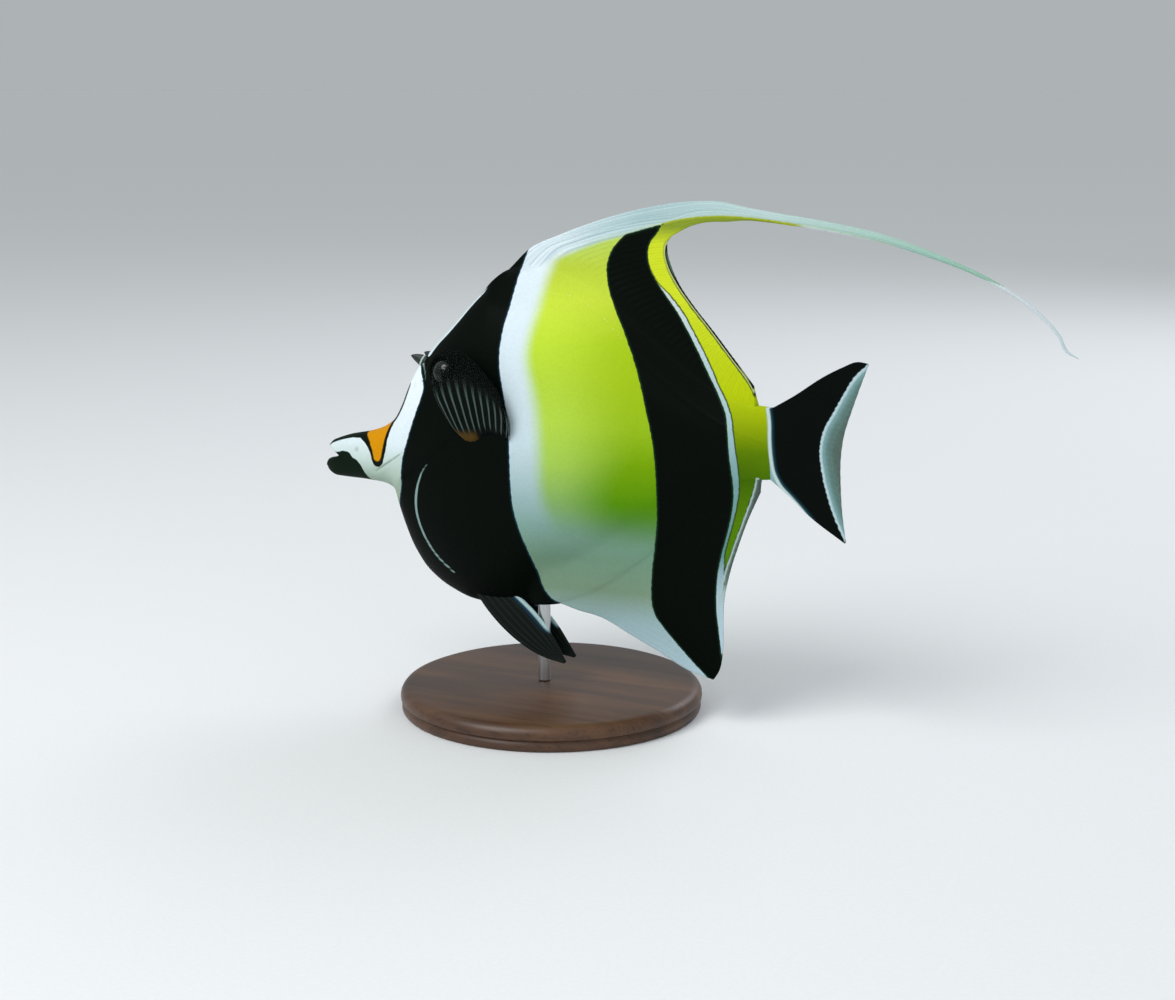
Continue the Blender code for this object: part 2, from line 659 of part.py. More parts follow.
def mouth_line(shift):
    """The line from the corner of the mouth down to the throat, moved back by the shift."""
    return [(MOUTH_CORNER[0] + shift, MOUTH_CORNER[1]), (JAW_REAR[0] + shift, JAW_REAR[1]),
            (JAW_REAR[0] + shift, CLEAR_BELOW)]


def lip(name, right_half):
    """A rounded lip that runs from one corner of the mouth round to the other."""
    path = right_half + [(x, -y, z) for x, y, z in reversed(right_half[:-1])]
    return tube(name, outline(path, len(LIP_TAPER)), LIP_RADIUS, LIP_TAPER)


def snout(flesh):
    rear = SNOUT_END - GAP / 2
    lower = mouth_line(MOUTH_GAP / 2)
    behind = [(rear, CLEAR_BELOW), (rear, CLEAR_ABOVE), (CLEAR_FRONT, CLEAR_ABOVE)]
    item = part_of(flesh, [*UPPER_GAPE, *lower, *behind])
    combine(item, lip("upper lip", UPPER_LIP), "UNION")
    bounds = [(CLEAR_FRONT, GAPE_MIDDLE[1]), GAPE_MIDDLE, *lower, *behind]
    return combine(item, prism("gape", bounds), "INTERSECT")


def lower_jaw(flesh):
    lower = mouth_line(-MOUTH_GAP / 2)
    item = part_of(flesh, [*LOWER_GAPE, *lower, (CLEAR_FRONT, CLEAR_BELOW)])
    combine(item, lip("lower lip", LOWER_LIP), "UNION")
    middle = (GAPE_MIDDLE[0], GAPE_MIDDLE[1] - ROOT_GAP)
    bounds = [(CLEAR_FRONT, middle[1]), middle, *lower, (CLEAR_FRONT, CLEAR_BELOW)]
    return combine(item, prism("gape", bounds), "INTERSECT")


def head(flesh):
    front = SNOUT_END + GAP / 2
    rear = offset_line(outline(GILL_LINE, GILL_POINTS), GAP / 2)
    item = part_of(flesh, [(front, GILL_FOOT), *rear, (front, GILL_HEAD)])
    for side in (-1, 1):
        place, normal = eye_place(side)
        radii = (EYE_RADIUS + GAP, EYE_RADIUS + GAP, EYE_DEPTH + GAP)
        combine(item, ball("socket", place, radii, normal), "DIFFERENCE")
        for x, z in NOSTRILS:
            middle = (x, side * flank(x, z), z)
            combine(item, ball("nostril", middle, (NOSTRIL_RADIUS,) * 3, Vector((0, 0, 1))), "DIFFERENCE")
    return item


def cover_block(side):
    inner, outer = sorted((side * GILL_COVER_DEPTH, side * CLEAR_ASIDE))
    return prism("cover", [*outline(GILL_COVER_FRONT, GILL_POINTS // 2), *GILL_COVER_REAR], inner, outer)


def eye_place(side):
    """Middle of an eye, sunk under the head's surface, and the way that it looks."""
    x, z = EYE_PLACE
    normal = flank_normal(x, z, side)
    return Vector((x, side * flank(x, z), z)) - normal * EYE_SINK, normal


def horn(side, flesh):
    """A short bony point above and in front of the eye."""
    places = np.linspace(HORN_ROOT, HORN_TIP, len(HORN_TAPER)) * (1, side, 1)
    item = tube("horn", places, HORN_HEIGHT / 2, HORN_TAPER)
    middle = side * HORN_TIP[1] * MM
    for vertex in item.data.vertices:
        vertex.co.y = middle + (vertex.co.y - middle) * HORN_THICKNESS / HORN_HEIGHT
    return combine(item, swollen(flesh, "brow", ROOT_GAP), "DIFFERENCE")


# Display stand

def stand_base():
    mesh = bpy.data.meshes.new("base")
    work = bmesh.new()
    bmesh.ops.create_cone(work, cap_ends=True, segments=48, radius1=BASE_RADIUS * MM,
                          radius2=BASE_RADIUS * MM, depth=BASE_THICKNESS * MM)
    middle = Vector((STAND_MIDDLE, 0, BASE_TOP - BASE_THICKNESS / 2)) * MM
    bmesh.ops.translate(work, vec=middle, verts=work.verts)
    upper = [e for e in work.edges if all(v.co.z > middle.z for v in e.verts)]
    bmesh.ops.bevel(work, geom=upper, offset=BASE_BEVEL * MM, segments=2, profile=0.5, affect="EDGES")
    work.to_mesh(mesh)
    work.free()
    item = bpy.data.objects.new("base", mesh)
    cutters.objects.link(item)
    return item


def stand_rod(flesh):
    bottom, top = BASE_TOP + GAP, low_edge(ROD_PLACE) + ROD_OVERRUN
    rod = tube("rod", [(ROD_PLACE, 0, bottom), (ROD_PLACE, 0, top)], ROD_RADIUS)
    return combine(rod, swollen(flesh, "belly", ROOT_GAP), "DIFFERENCE")


def build():
    global fish, cutters
    clear_scene()
    fish = collection("moorish_idol")
    cutters = collection("tools")
    white = material("white skin", "E9EEF0")
    black = material("black skin", "14171A")
    yellow = material("yellow skin", "C6DC1E")
    eye_finish = material("eye", "0A0C10", roughness=0.08)
    horn_finish = material("horn", "1E222B", roughness=0.35)
    stand_finish = material("stand base", "2B2622", roughness=0.4)
    rod_finish = material("stand rod", "B9BBBD", roughness=0.25, metallic=1.0)

    flesh = loft("flesh", [body_section(x) for x in stations()])
    stem_start = TAIL_STEM_START + GAP / 2
    stem = [(stem_start, STEM_FOOT), (CLEAR_REAR, STEM_FOOT), (CLEAR_REAR, STEM_TOP), (stem_start, STEM_TOP)]
    trunk_rear = TAIL_STEM_START - GAP / 2
    front = [tuple(p) for p in offset_line(outline(GILL_LINE, GILL_POINTS), -GAP / 2)]
    rear = [(front[0][0], TRUNK_FOOT), (trunk_rear, TRUNK_FOOT), (trunk_rear, TRUNK_TOP)]
    trunk = part_of(flesh, [*rear, *reversed(front)])

    whole_head = head(flesh)
    for side, name in ((-1, "left"), (1, "right")):
        cover = combine(copy_of(whole_head, "cover"), cover_block(side), "INTERSECT")
        combine(whole_head, swollen(cover_block(side), "recess", COVER_GAP), "DIFFERENCE")
        finish(cover, f"gill_cover_{name}", black)
    for side, name in ((-1, "left"), (1, "right")):
        place, normal = eye_place(side)
        finish(ball("eye", place, (EYE_RADIUS, EYE_RADIUS, EYE_DEPTH), normal), f"eye_{name}", eye_finish)
        finish(horn(side, flesh), f"horn_{name}", horn_finish)
        finish(pectoral_fin(side, flesh), f"pectoral_fin_{name}", black, crease=FIN_CREASE)
        finish(pelvic_fin(side, flesh), f"pelvic_fin_{name}", black, crease=FIN_CREASE)
    finish(stand_rod(flesh), "stand_rod", rod_finish)
    finish(stand_base(), "stand_base", stand_finish)
    finish(snout(flesh), "snout", white)
    finish(lower_jaw(flesh), "lower_jaw", black)
    finish(whole_head, "head", white)
    finish(trunk, "trunk", yellow)
    finish(part_of(flesh, stem), "tail_stem", yellow)
    finish(dorsal_fin(), "dorsal_fin", yellow, crease=FIN_CREASE)
    thread_base = filament(FILAMENT_START + GAP, FILAMENT_JOIN, FILAMENT_RINGS[0])
    thread_tip = filament(FILAMENT_JOIN + GAP, FILAMENT_UPPER[-1][0], FILAMENT_RINGS[1])
    finish(thread_base, "dorsal_filament_base", white, swept=False)
    finish(thread_tip, "dorsal_filament_tip", white, swept=False)
    finish(anal_fin(), "anal_fin", black, crease=FIN_CREASE)
    finish(caudal_fin(), "caudal_fin", black, crease=FIN_CREASE)
    for item in list(cutters.objects):
        bpy.data.objects.remove(item, do_unlink=True)


build()
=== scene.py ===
"""Moorish idol, a life-size museum model on a turned display stand: the finish of every surface."""
import math

import bmesh
import bpy
import numpy as np
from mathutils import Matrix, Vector


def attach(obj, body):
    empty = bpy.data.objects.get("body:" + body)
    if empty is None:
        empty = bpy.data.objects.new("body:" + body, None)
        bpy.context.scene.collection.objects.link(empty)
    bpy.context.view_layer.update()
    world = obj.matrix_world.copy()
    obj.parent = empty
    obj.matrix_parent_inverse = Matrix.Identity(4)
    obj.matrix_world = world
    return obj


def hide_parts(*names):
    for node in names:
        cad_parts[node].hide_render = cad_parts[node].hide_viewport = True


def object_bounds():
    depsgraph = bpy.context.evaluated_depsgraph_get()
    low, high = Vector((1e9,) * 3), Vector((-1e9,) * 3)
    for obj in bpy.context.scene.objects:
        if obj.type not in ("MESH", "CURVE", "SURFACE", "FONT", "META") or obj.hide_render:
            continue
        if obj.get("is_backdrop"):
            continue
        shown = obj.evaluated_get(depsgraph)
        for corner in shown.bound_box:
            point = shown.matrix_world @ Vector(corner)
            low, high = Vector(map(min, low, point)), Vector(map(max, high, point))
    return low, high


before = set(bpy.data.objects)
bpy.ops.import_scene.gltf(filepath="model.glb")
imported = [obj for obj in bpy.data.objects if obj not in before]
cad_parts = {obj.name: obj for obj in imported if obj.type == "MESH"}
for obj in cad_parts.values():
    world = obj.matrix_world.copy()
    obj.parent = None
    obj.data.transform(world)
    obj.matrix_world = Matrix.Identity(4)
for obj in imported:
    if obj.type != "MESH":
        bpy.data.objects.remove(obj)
cad_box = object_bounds()


# Camera
# The view of the fish from behind its left shoulder, a little above it. The lens is given by
# its focal length in pixels of the picture, and the fish by where one point of it lands.
PICTURE_WIDTH, PICTURE_HEIGHT = 1175, 1000
FOCAL_PIXELS = 2000.0
VIEW_AROUND = math.radians(25.0)
VIEW_ABOVE = math.radians(10.0)
VIEW_DISTANCE = 0.617
AIM_POINT = Vector((0.0135, 0.0, 0.087))
AIM_PIXEL = (590.0, 440.0)
SENSOR_WIDTH = 36.0

toward_camera = Vector((math.sin(VIEW_AROUND) * math.cos(VIEW_ABOVE),
                        -math.cos(VIEW_AROUND) * math.cos(VIEW_ABOVE), math.sin(VIEW_ABOVE)))
rightward = Vector((0, 0, 1)).cross(toward_camera).normalized()
upward = toward_camera.cross(rightward)
pixel_size = VIEW_DISTANCE / FOCAL_PIXELS
target = (AIM_POINT - rightward * (AIM_PIXEL[0] - PICTURE_WIDTH / 2) * pixel_size
          + upward * (AIM_PIXEL[1] - PICTURE_HEIGHT / 2) * pixel_size)
camera_data = bpy.data.cameras.new("camera")
camera_data.sensor_width = SENSOR_WIDTH
camera_data.lens = FOCAL_PIXELS / PICTURE_WIDTH * SENSOR_WIDTH
camera_data.clip_start = 0.01
camera = bpy.data.objects.new("camera", camera_data)
camera.location = AIM_POINT + toward_camera * VIEW_DISTANCE
camera.rotation_euler = (target - camera.location).to_track_quat("-Z", "Y").to_euler()
bpy.context.scene.collection.objects.link(camera)
bpy.context.scene.camera = camera
bpy.context.scene.view_settings.view_transform = "Standard"


# Studio floor and light
# A wide sheet of matt white card, lit by three large diffusers and a pale room that is darker low
# down, where it is as bright as the card far away.
FLOOR_HALF_SIZE = 60.0
FLOOR_GRAIN, FLOOR_TOOTH = 0.0012, 0.0002
ROOM_LOW, ROOM_HIGH, ROOM_HIGH_FROM = "ADB2B4", "C0C4C6", 0.7
LIGHTS = [("high key", (-0.35, -0.8, 0.95), 0.8, 9.6, "FFFFFF"),
          ("camera fill", (1.1, -1.1, 0.55), 1.0, 1.2, "F1F6FF"),
          ("back rim", (0.3, 1.0, 0.8), 0.8, 4.0, "F6F8FF")]


# The sockets of a Mix node for colours: the colour under, the colour over and what comes out
UNDER, OVER, MIXED = 6, 7, 2


def linear(code):
    """Linear colour of an sRGB hex value."""
    values = [int(code[i:i + 2], 16) / 255 for i in (0, 2, 4)]
    return [v / 12.92 if v <= 0.04045 else ((v + 0.055) / 1.055) ** 2.4 for v in values] + [1.0]


def add(tree, kind, links=None, **settings):
    """A new node with its settings, and its inputs set to a value or linked to a socket."""
    item = tree.nodes.new(kind)
    stops = settings.pop("stops", [])
    for name, value in settings.items():
        setattr(item, name, value)
    for place, code in stops[2:]:
        item.color_ramp.elements.new(place)
    for element, (place, code) in zip(item.color_ramp.elements if stops else [], stops):
        element.position, element.color = place, linear(code)
    for name, value in (links or {}).items():
        if isinstance(value, bpy.types.NodeSocket):
            tree.links.new(value, item.inputs[name])
        else:
            item.inputs[name].default_value = linear(value) if isinstance(value, str) else value
    return item


def new_finish(name, roughness):
    """A new material with its tree and its Principled shader."""
    finish = bpy.data.materials.new(name)
    finish.use_nodes = True
    shader = finish.node_tree.nodes["Principled BSDF"]
    shader.inputs["Roughness"].default_value = roughness
    return finish, finish.node_tree, shader


def card_finish():
    """Matt photographer's card: a soft paper tooth, no gloss."""
    finish, tree, shader = new_finish("matt studio card", 0.85)
    place = add(tree, "ShaderNodeTexCoord").outputs["Object"]
    tooth = add(tree, "ShaderNodeTexNoise",
                {"Vector": place, "Scale": 1 / FLOOR_GRAIN, "Detail": 3.0}).outputs["Fac"]
    tone = add(tree, "ShaderNodeMix", {"Factor": tooth, UNDER: "E4E6E7", OVER: "ECEEEF"}, data_type="RGBA")
    tree.links.new(tone.outputs[MIXED], shader.inputs["Base Color"])
    bump = add(tree, "ShaderNodeBump", {"Height": tooth, "Strength": 0.08, "Distance": FLOOR_TOOTH})
    tree.links.new(bump.outputs["Normal"], shader.inputs["Normal"])
    return finish


floor_mesh = bpy.data.meshes.new("floor")
work = bmesh.new()
bmesh.ops.create_grid(work, x_segments=24, y_segments=24, size=FLOOR_HALF_SIZE)
work.to_mesh(floor_mesh)
work.free()
floor = bpy.data.objects.new("studio_floor", floor_mesh)
bpy.context.scene.collection.objects.link(floor)
floor_mesh.materials.append(card_finish())
floor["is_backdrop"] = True

room = bpy.data.worlds.new("pale room")
bpy.context.scene.world = room
room.use_nodes = True
toward = add(room.node_tree, "ShaderNodeTexCoord").outputs["Generated"]
height = add(room.node_tree, "ShaderNodeSeparateXYZ", {0: toward}).outputs["Z"]
share = add(room.node_tree, "ShaderNodeMapRange", {"Value": height, "From Max": ROOM_HIGH_FROM},
            interpolation_type="SMOOTHSTEP").outputs[0]
glow = add(room.node_tree, "ShaderNodeMix", {"Factor": share, UNDER: ROOM_LOW, OVER: ROOM_HIGH},
           data_type="RGBA").outputs[MIXED]
room.node_tree.links.new(glow, room.node_tree.nodes["Background"].inputs["Color"])
for name, place, size, power, colour in LIGHTS:
    lamp = bpy.data.lights.new(name, "AREA")
    lamp.shape = "DISK"
    lamp.size = size
    lamp.energy = power
    lamp.color = linear(colour)[:3]
    lamp_object = bpy.data.objects.new(name, lamp)
    lamp_object.location = place
    lamp_object.rotation_euler = (AIM_POINT - Vector(place)).to_track_quat("-Z", "Y").to_euler()
    bpy.context.scene.collection.objects.link(lamp_object)


# Skin
# The scaled skin of the head and body and of the fins on its midline, cast as one piece out to
# the tip of the long fin thread. It is drawn in millimetres in the fish's flat side view, with a
# half thickness at each place, and then the tail is swept to the fish's left.
MM = 0.001
SNOUT_START, MOUTH_CORNER_X, TAIL_ROOT = -1.5, 4.6, 154.2
DORSAL_START, DORSAL_END = 67.5, 148.5
ANAL_START, ANAL_END = 84.5, 150.0
TOP_EDGE = [(-1.5, -14.4), (-1.0, -11.8), (0.0, -8.3), (0.8, -7.2), (2.4, -6.4), (8.4, -4.4),
            (15.0, -3.0), (19.4, -1.6), (22.8, 0.2), (26.0, 3.0), (29.0, 8.2), (32.0, 15.0),
            (34.2, 19.0), (36.8, 22.6), (40.6, 26.6), (46.0, 32.0), (54.0, 40.6), (62.0, 48.0),
            (68.0, 51.8), (74.0, 53.2), (82.0, 52.4), (92.0, 48.6), (104.0, 41.4), (116.0, 31.8),
            (128.0, 22.9), (138.0, 17.0), (147.0, 14.4), (154.2, 14.2)]
LOW_EDGE = [(-1.5, -14.9), (-1.0, -16.4), (0.0, -17.3), (2.0, -18.1), (7.0, -18.3), (12.0, -18.4),
            (17.0, -18.7), (21.0, -19.1), (23.8, -20.2), (25.7, -22.0), (26.9, -24.8), (27.9, -29.2),
            (29.3, -33.8), (31.8, -39.8), (36.8, -46.4), (44.4, -51.4), (53.0, -54.4), (62.0, -55.2),
            (74.0, -53.8), (84.0, -52.4), (94.0, -48.6), (106.0, -40.8), (118.0, -31.0),
            (130.0, -20.2), (140.0, -11.8), (147.0, -7.8), (154.2, -6.6)]
HALF_WIDTH = [(-1.5, 0.8), (-0.6, 2.0), (0.8, 2.9), (4.0, 3.7), (10.0, 4.4), (18.0, 5.4),
              (24.0, 6.6), (30.0, 8.2), (38.0, 9.9), (48.0, 11.4), (60.0, 12.0), (74.0, 11.8),
              (90.0, 10.6), (106.0, 8.7), (122.0, 6.4), (136.0, 4.6), (147.0, 3.4), (154.2, 2.6)]
HALF_EDGE = [(-1.5, 0.3), (2.0, 0.9), (12.0, 1.3), (24.0, 1.4), (34.0, 1.8), (44.0, 1.8),
             (60.0, 1.2), (120.0, 1.0), (154.2, 1.1)]
UPPER_FULLNESS = [(-1.5, 2.2), (20.0, 2.2), (34.0, 3.0), (50.0, 2.7), (70.0, 2.1), (154.2, 2.1)]
UPPER_ROUNDNESS = [(-1.5, 0.5), (18.0, 0.5), (34.0, 0.58), (60.0, 0.68), (120.0, 0.72), (154.2, 0.6)]
LOWER_ROUNDNESS = [(-1.5, 0.5), (18.0, 0.5), (30.0, 0.8), (60.0, 0.72), (120.0, 0.72), (154.2, 0.6)]
LOWER_FULLNESS = 2.3
DORSAL_MELT, ANAL_MELT = (60.0, 78.0, 142.0, 154.0, 0.7), (68.0, 90.0, 142.0, 154.0, 1.2)
LOWEST_HALF_EDGE = 1.2
UPPER_GAPE = [(0.0, -8.5), (0.5, -8.8), (2.6, -9.9), (4.6, -11.2)]
LOWER_GAPE = [(-1.5, -14.4), (-1.2, -13.8), (-0.6, -13.3), (2.2, -12.1), (4.6, -11.2)]
DORSAL_FRONT = [(67.5, 52.3), (74.2, 58.2), (83.4, 62.3), (96.8, 67.1), (109.9, 70.7), (120.0, 72.7)]
DORSAL_REAR = [(120.0, 63.5), (118.8, 61.8), (118.6, 58.8), (119.8, 54.6), (122.6, 49.0),
               (127.3, 42.8), (133.4, 36.0), (140.2, 28.2), (147.2, 20.2)]
ANAL_FRONT = [(84.5, -52.9), (90.0, -54.0), (97.0, -55.4), (107.3, -60.0), (117.5, -64.6),
              (127.6, -69.4), (135.4, -71.2)]
ANAL_REAR = [(135.4, -71.2), (136.9, -68.8), (138.3, -61.6), (138.3, -52.2), (138.5, -46.0),
             (140.4, -36.5), (143.0, -28.3), (146.6, -18.6), (150.0, -11.2)]
TAIL_LOWER = [(154.2, -6.6), (160.5, -10.8), (166.9, -15.6), (179.6, -22.5)]
TAIL_UPPER = [(154.2, 14.2), (160.9, 18.1), (171.9, 25.3), (177.3, 28.1), (182.2, 30.1), (185.4, 29.9)]
TAIL_REAR = [(179.6, -22.5), (178.2, -15.0), (177.3, -6.0), (177.1, 2.0), (177.8, 8.0), (180.7, 17.3),
             (182.7, 22.8), (185.4, 29.9)]
THREAD_UPPER = [(120.0, 72.7), (127.0, 73.5), (134.0, 73.8), (145.3, 72.0), (154.0, 70.8),
                (167.3, 69.0), (184.8, 65.8), (201.9, 60.4), (218.8, 53.1), (227.9, 47.5),
                (233.4, 42.8), (236.2, 39.6), (238.1, 35.9), (241.7, 33.5)]
THREAD_DEPTHS = [(0.0, 9.2), (2.6, 8.1), (6.2, 6.8), (10.0, 6.1), (16.0, 5.6), (25.5, 3.4), (34.0, 2.9),
                 (60.0, 2.5), (76.0, 2.0), (94.0, 1.1), (110.0, 0.8), (150.0, 0.7)]
THREAD_UPRIGHT, THREAD_ROOT_BLEND, THREAD_TIP_BLEND, THREAD_TIP_SHARE = 64.0, 14.0, 5.0, 0.25
THREAD_HALF_THICKNESS = 0.4
THREAD_SHARE = 0.2
DORSAL_HALF, ANAL_HALF, FIN_FALL = (0.9, 0.28), (0.85, 0.27), 0.7
TAIL_HALF, TAIL_SWELL, TAIL_FALL = (0.7, 0.28), 1.4, 1.7
SWEEP_START, SWEEP_END = 118.5, 155.5
SWEEP_ANGLE = math.radians(13.0)
SWEEP_FADE = (45.0, 62.0)
FISH_TO_FRAME = Vector((-80.0, 0.0, 87.0))
DORSAL_RAYS, ANAL_RAYS, TAIL_RAYS = 40, 34, 17
COLUMN_STEP = 0.5
BODY_ROWS = 80
MOUTH_ROW = 42
FIN_ROWS = 36
THREAD_STEP = 1.15
RIM_STEPS = 6
LINE_CORNERS = 90


def hermite(knots, values, slopes, where):
    """Smooth values between knots, for one number or an array of them."""
    where = np.clip(where, knots[0], knots[-1])
    i = np.clip(np.searchsorted(knots, where, side="right") - 1, 0, len(knots) - 2)
    step = knots[i + 1] - knots[i]
    t = (where - knots[i]) / step
    if values.ndim > 1:
        t, step = t[..., None], step[..., None]
    start = values[i] * (1 + 2 * t) * (1 - t) ** 2 + slopes[i] * step * t * (1 - t) ** 2
    return start + values[i + 1] * t * t * (3 - 2 * t) - slopes[i + 1] * step * t * t * (1 - t)


def profile(points):
    """A smooth height over x through the points, with no overshoot between them."""
    knots, values = np.array(points, float).T
    rises = np.diff(values) / np.diff(knots)
    slopes = np.concatenate(([rises[0]], np.zeros(len(knots) - 2), [rises[-1]]))
    for i in range(1, len(knots) - 1):
        before, after = rises[i - 1], rises[i]
        if before * after > 0:
            slopes[i] = 2 * before * after / (before + after)
    return lambda where: hermite(knots, values, slopes, where)


def way_along(points):
    """How far along a line each of its points lies."""
    return np.concatenate(([0.0], np.cumsum(np.linalg.norm(np.diff(points, axis=0), axis=1))))


def outline(points, shares):
    """Points at the given shares of the length of a smooth curve through a few points."""
    points = np.array(points, float)
    knots = way_along(points)
    before, after = np.diff(knots)[:-1, None], np.diff(knots)[1:, None]
    chords = np.diff(points, axis=0) / np.diff(knots)[:, None]
    slopes = np.concatenate((chords[:1], (chords[:-1] * after + chords[1:] * before) / (before + after),
                             chords[-1:]))
    fine = hermite(knots, points, slopes, np.linspace(0, knots[-1], 40 * len(points)))
    lengths = way_along(fine)
    return np.stack([np.interp(np.asarray(shares) * lengths[-1], lengths, c) for c in fine.T], axis=-1)


def smooth(value, low, high):
    """0 below low, 1 above high and a soft step between them."""
    t = np.clip((value - low) / (high - low), 0.0, 1.0)
    return t * t * (3 - 2 * t)


top_edge, low_edge, half_width, half_edge, upper_fullness, upper_roundness, lower_roundness = [
    profile(points) for points in (TOP_EDGE, LOW_EDGE, HALF_WIDTH, HALF_EDGE, UPPER_FULLNESS,
                                   UPPER_ROUNDNESS, LOWER_ROUNDNESS)]


def melt(x, zone):
    """How far the body's edge thins softly into a fin, along the fin's root."""
    return zone[4] * smooth(x, zone[0], zone[1]) * (1 - smooth(x, zone[2], zone[3]))


def flank(x, z):
    """Half width of the body at places seen from the side."""
    top, low = top_edge(x), low_edge(x)
    middle = (top + low) / 2
    reach = np.minimum(np.abs(z - middle) / ((top - low) / 2), 1.0)
    width, edge = half_width(x), half_edge(x)
    near_edge = smooth(reach, 0.3, 1.0)
    roundness = upper_roundness(x) + melt(x, DORSAL_MELT) * near_edge
    upper = edge + (width - edge) * (1 - reach ** upper_fullness(x)) ** roundness
    edge = np.minimum(edge, LOWEST_HALF_EDGE)
    roundness = lower_roundness(x) + melt(x, ANAL_MELT) * near_edge
    lower = edge + (width - edge) * (1 - reach ** LOWER_FULLNESS) ** roundness
    return np.where(z > middle, upper, lower)


def column_heights(x, low, top, rows):
    """Heights up one section of the body, evenly spaced round its curve and closer at its edges."""
    angles = np.linspace(-math.pi / 2, math.pi / 2, 400)
    heights = (low + top) / 2 + (top - low) / 2 * np.sin(angles)
    thickness = flank(np.full_like(heights, x), heights)
    steps = np.hypot(np.diff(heights), np.diff(thickness))
    steps *= 1 + 2.0 * np.exp(-((math.pi / 2 - np.abs(angles[1:])) / 0.22) ** 2)
    travelled = np.concatenate(([0.0], np.cumsum(steps)))
    return np.interp(np.asarray(rows) * travelled[-1], travelled, heights), np.interp(
        MOUTH_HEIGHT, heights, travelled / travelled[-1])


MOUTH_HEIGHT = UPPER_GAPE[-1][1]
places, half, ray, reach = [], [], [], []
quads = []


def store(points, thickness, ray_place=0.0, ray_reach=0.0):
    """Adds points of the side view with their half thickness and returns their numbers as a grid."""
    shape = points.shape[:-1]
    first = len(half)
    places.extend(points.reshape(-1, 2))
    half.extend(np.broadcast_to(thickness, shape).ravel())
    ray.extend(np.broadcast_to(ray_place, shape).ravel())
    reach.extend(np.broadcast_to(ray_reach, shape).ravel())
    return np.arange(first, first + int(np.prod(shape))).reshape(shape)


def patches(grid):
    """Four-sided faces between the neighbours of a grid of point numbers."""
    return np.stack([grid[:-1, :-1], grid[1:, :-1], grid[1:, 1:], grid[:-1, 1:]], axis=-1).reshape(-1, 4)


def body_column(x):
    """Points up one section of the body, with the mouth's row kept at the mouth's height."""
    rows = np.arange(BODY_ROWS + 1)
    low, top = low_edge(x), top_edge(x)
    _, mouth = column_heights(x, low, top, [0.0])
    blend = smooth(x, MOUTH_CORNER_X, 16.0)
    share = (1 - blend) * mouth + blend * MOUTH_ROW / BODY_ROWS
    spread = np.interp(rows, [0, MOUTH_ROW, BODY_ROWS], [0.0, share, 1.0])
    heights, _ = column_heights(x, low, top, spread)
    return np.stack([np.full_like(heights, x), heights], axis=-1)


columns = np.concatenate((np.arange(5.0, ANAL_END, COLUMN_STEP), np.linspace(ANAL_END, TAIL_ROOT, 9)))
columns = np.concatenate(([MOUTH_CORNER_X], columns))
body_points = np.stack([body_column(x) for x in columns])
body = store(body_points, flank(body_points[..., 0], body_points[..., 1]))
quads.extend(patches(body))


def jaw(start, low, top, count, rows, joined):
    """One jaw in front of the mouth's corner, its last column shared with the body."""
    xs = start + (MOUTH_CORNER_X - start) * np.linspace(0, 1, count + 1)[:-1] ** 1.4
    levels = np.linspace(0, 1, rows)
    heights = low(xs)[:, None] + (top(xs) - low(xs))[:, None] * levels
    points = np.stack([np.broadcast_to(xs[:, None], heights.shape), heights], axis=-1)
    grid = store(points, flank(points[..., 0], points[..., 1]))
    quads.extend(patches(np.concatenate((grid, joined[None]))))


upper_gape, lower_gape = profile(UPPER_GAPE), profile(LOWER_GAPE)
jaw(SNOUT_START, low_edge, lower_gape, 20, MOUTH_ROW + 1, body[0, :MOUTH_ROW + 1])
jaw(0.0, upper_gape, top_edge, 16, BODY_ROWS - MOUTH_ROW + 1, body[0, MOUTH_ROW:])


def stretched(base, edge, ahead, behind, u, v):
    """A sheet of points drawn between four lines, at the shares u along it and v up it."""
    u, v = u[:, None, None], v[None, :, None]
    sheet = (1 - v) * base[:, None] + v * edge[:, None] + (1 - u) * ahead[None] + u * behind[None]
    return sheet - (1 - u) * ((1 - v) * base[0] + v * edge[0]) - u * ((1 - v) * base[-1] + v * edge[-1])


def thinning(halves, fall):
    """Half thickness from a fin's root to its outer edge, by a share that falls from 1 to 0."""
    return lambda u, v: halves[1] + (halves[0] - halves[1]) * fall(v)


def fin(base, edge, front, rear, rays, thickness):
    """A fin woven onto a row of the body's points: base and edge run along it, front and rear up it."""
    origin = np.array([places[i] for i in base])
    lengths = way_along(origin)
    u, v = lengths / lengths[-1], np.linspace(0, 1, FIN_ROWS + 1)
    sheet = stretched(origin, edge(u), front(v), rear(v), u, v)
    grid = store(sheet[:, 1:], thickness(u[:, None], v[None, 1:]), u[:, None] * rays, v[None, 1:])
    grid = np.concatenate((np.array(base)[:, None], grid), axis=1)
    for i, number in enumerate(base):
        ray[number] = u[i] * rays
    quads.extend(patches(grid))
    return grid, u


def fin_base(start, end, row):
    """The body's points along a fin's root, and the places of its two ends."""
    near, far = (int(np.argmin(np.abs(columns - x))) for x in (start, end))
    base = body[near:far + 1, row]
    return base, places[base[0]], places[base[-1]]


def straight(start, end, shares):
    """Points at the given shares of a straight line."""
    return np.asarray(start) + (np.asarray(end) - np.asarray(start)) * np.asarray(shares)[:, None]


def dorsal_rim(u):
    """The outer edge of the dorsal fin: first where the thread grows on, then its free rear edge."""
    on_thread = straight(DORSAL_FRONT[-1], DORSAL_REAR[0], np.minimum(u / THREAD_SHARE, 1.0))
    on_rear = outline(DORSAL_REAR, np.clip((u - THREAD_SHARE) / (1 - THREAD_SHARE), 0.0, 1.0))
    return np.where(u[:, None] <= THREAD_SHARE, on_thread, on_rear)


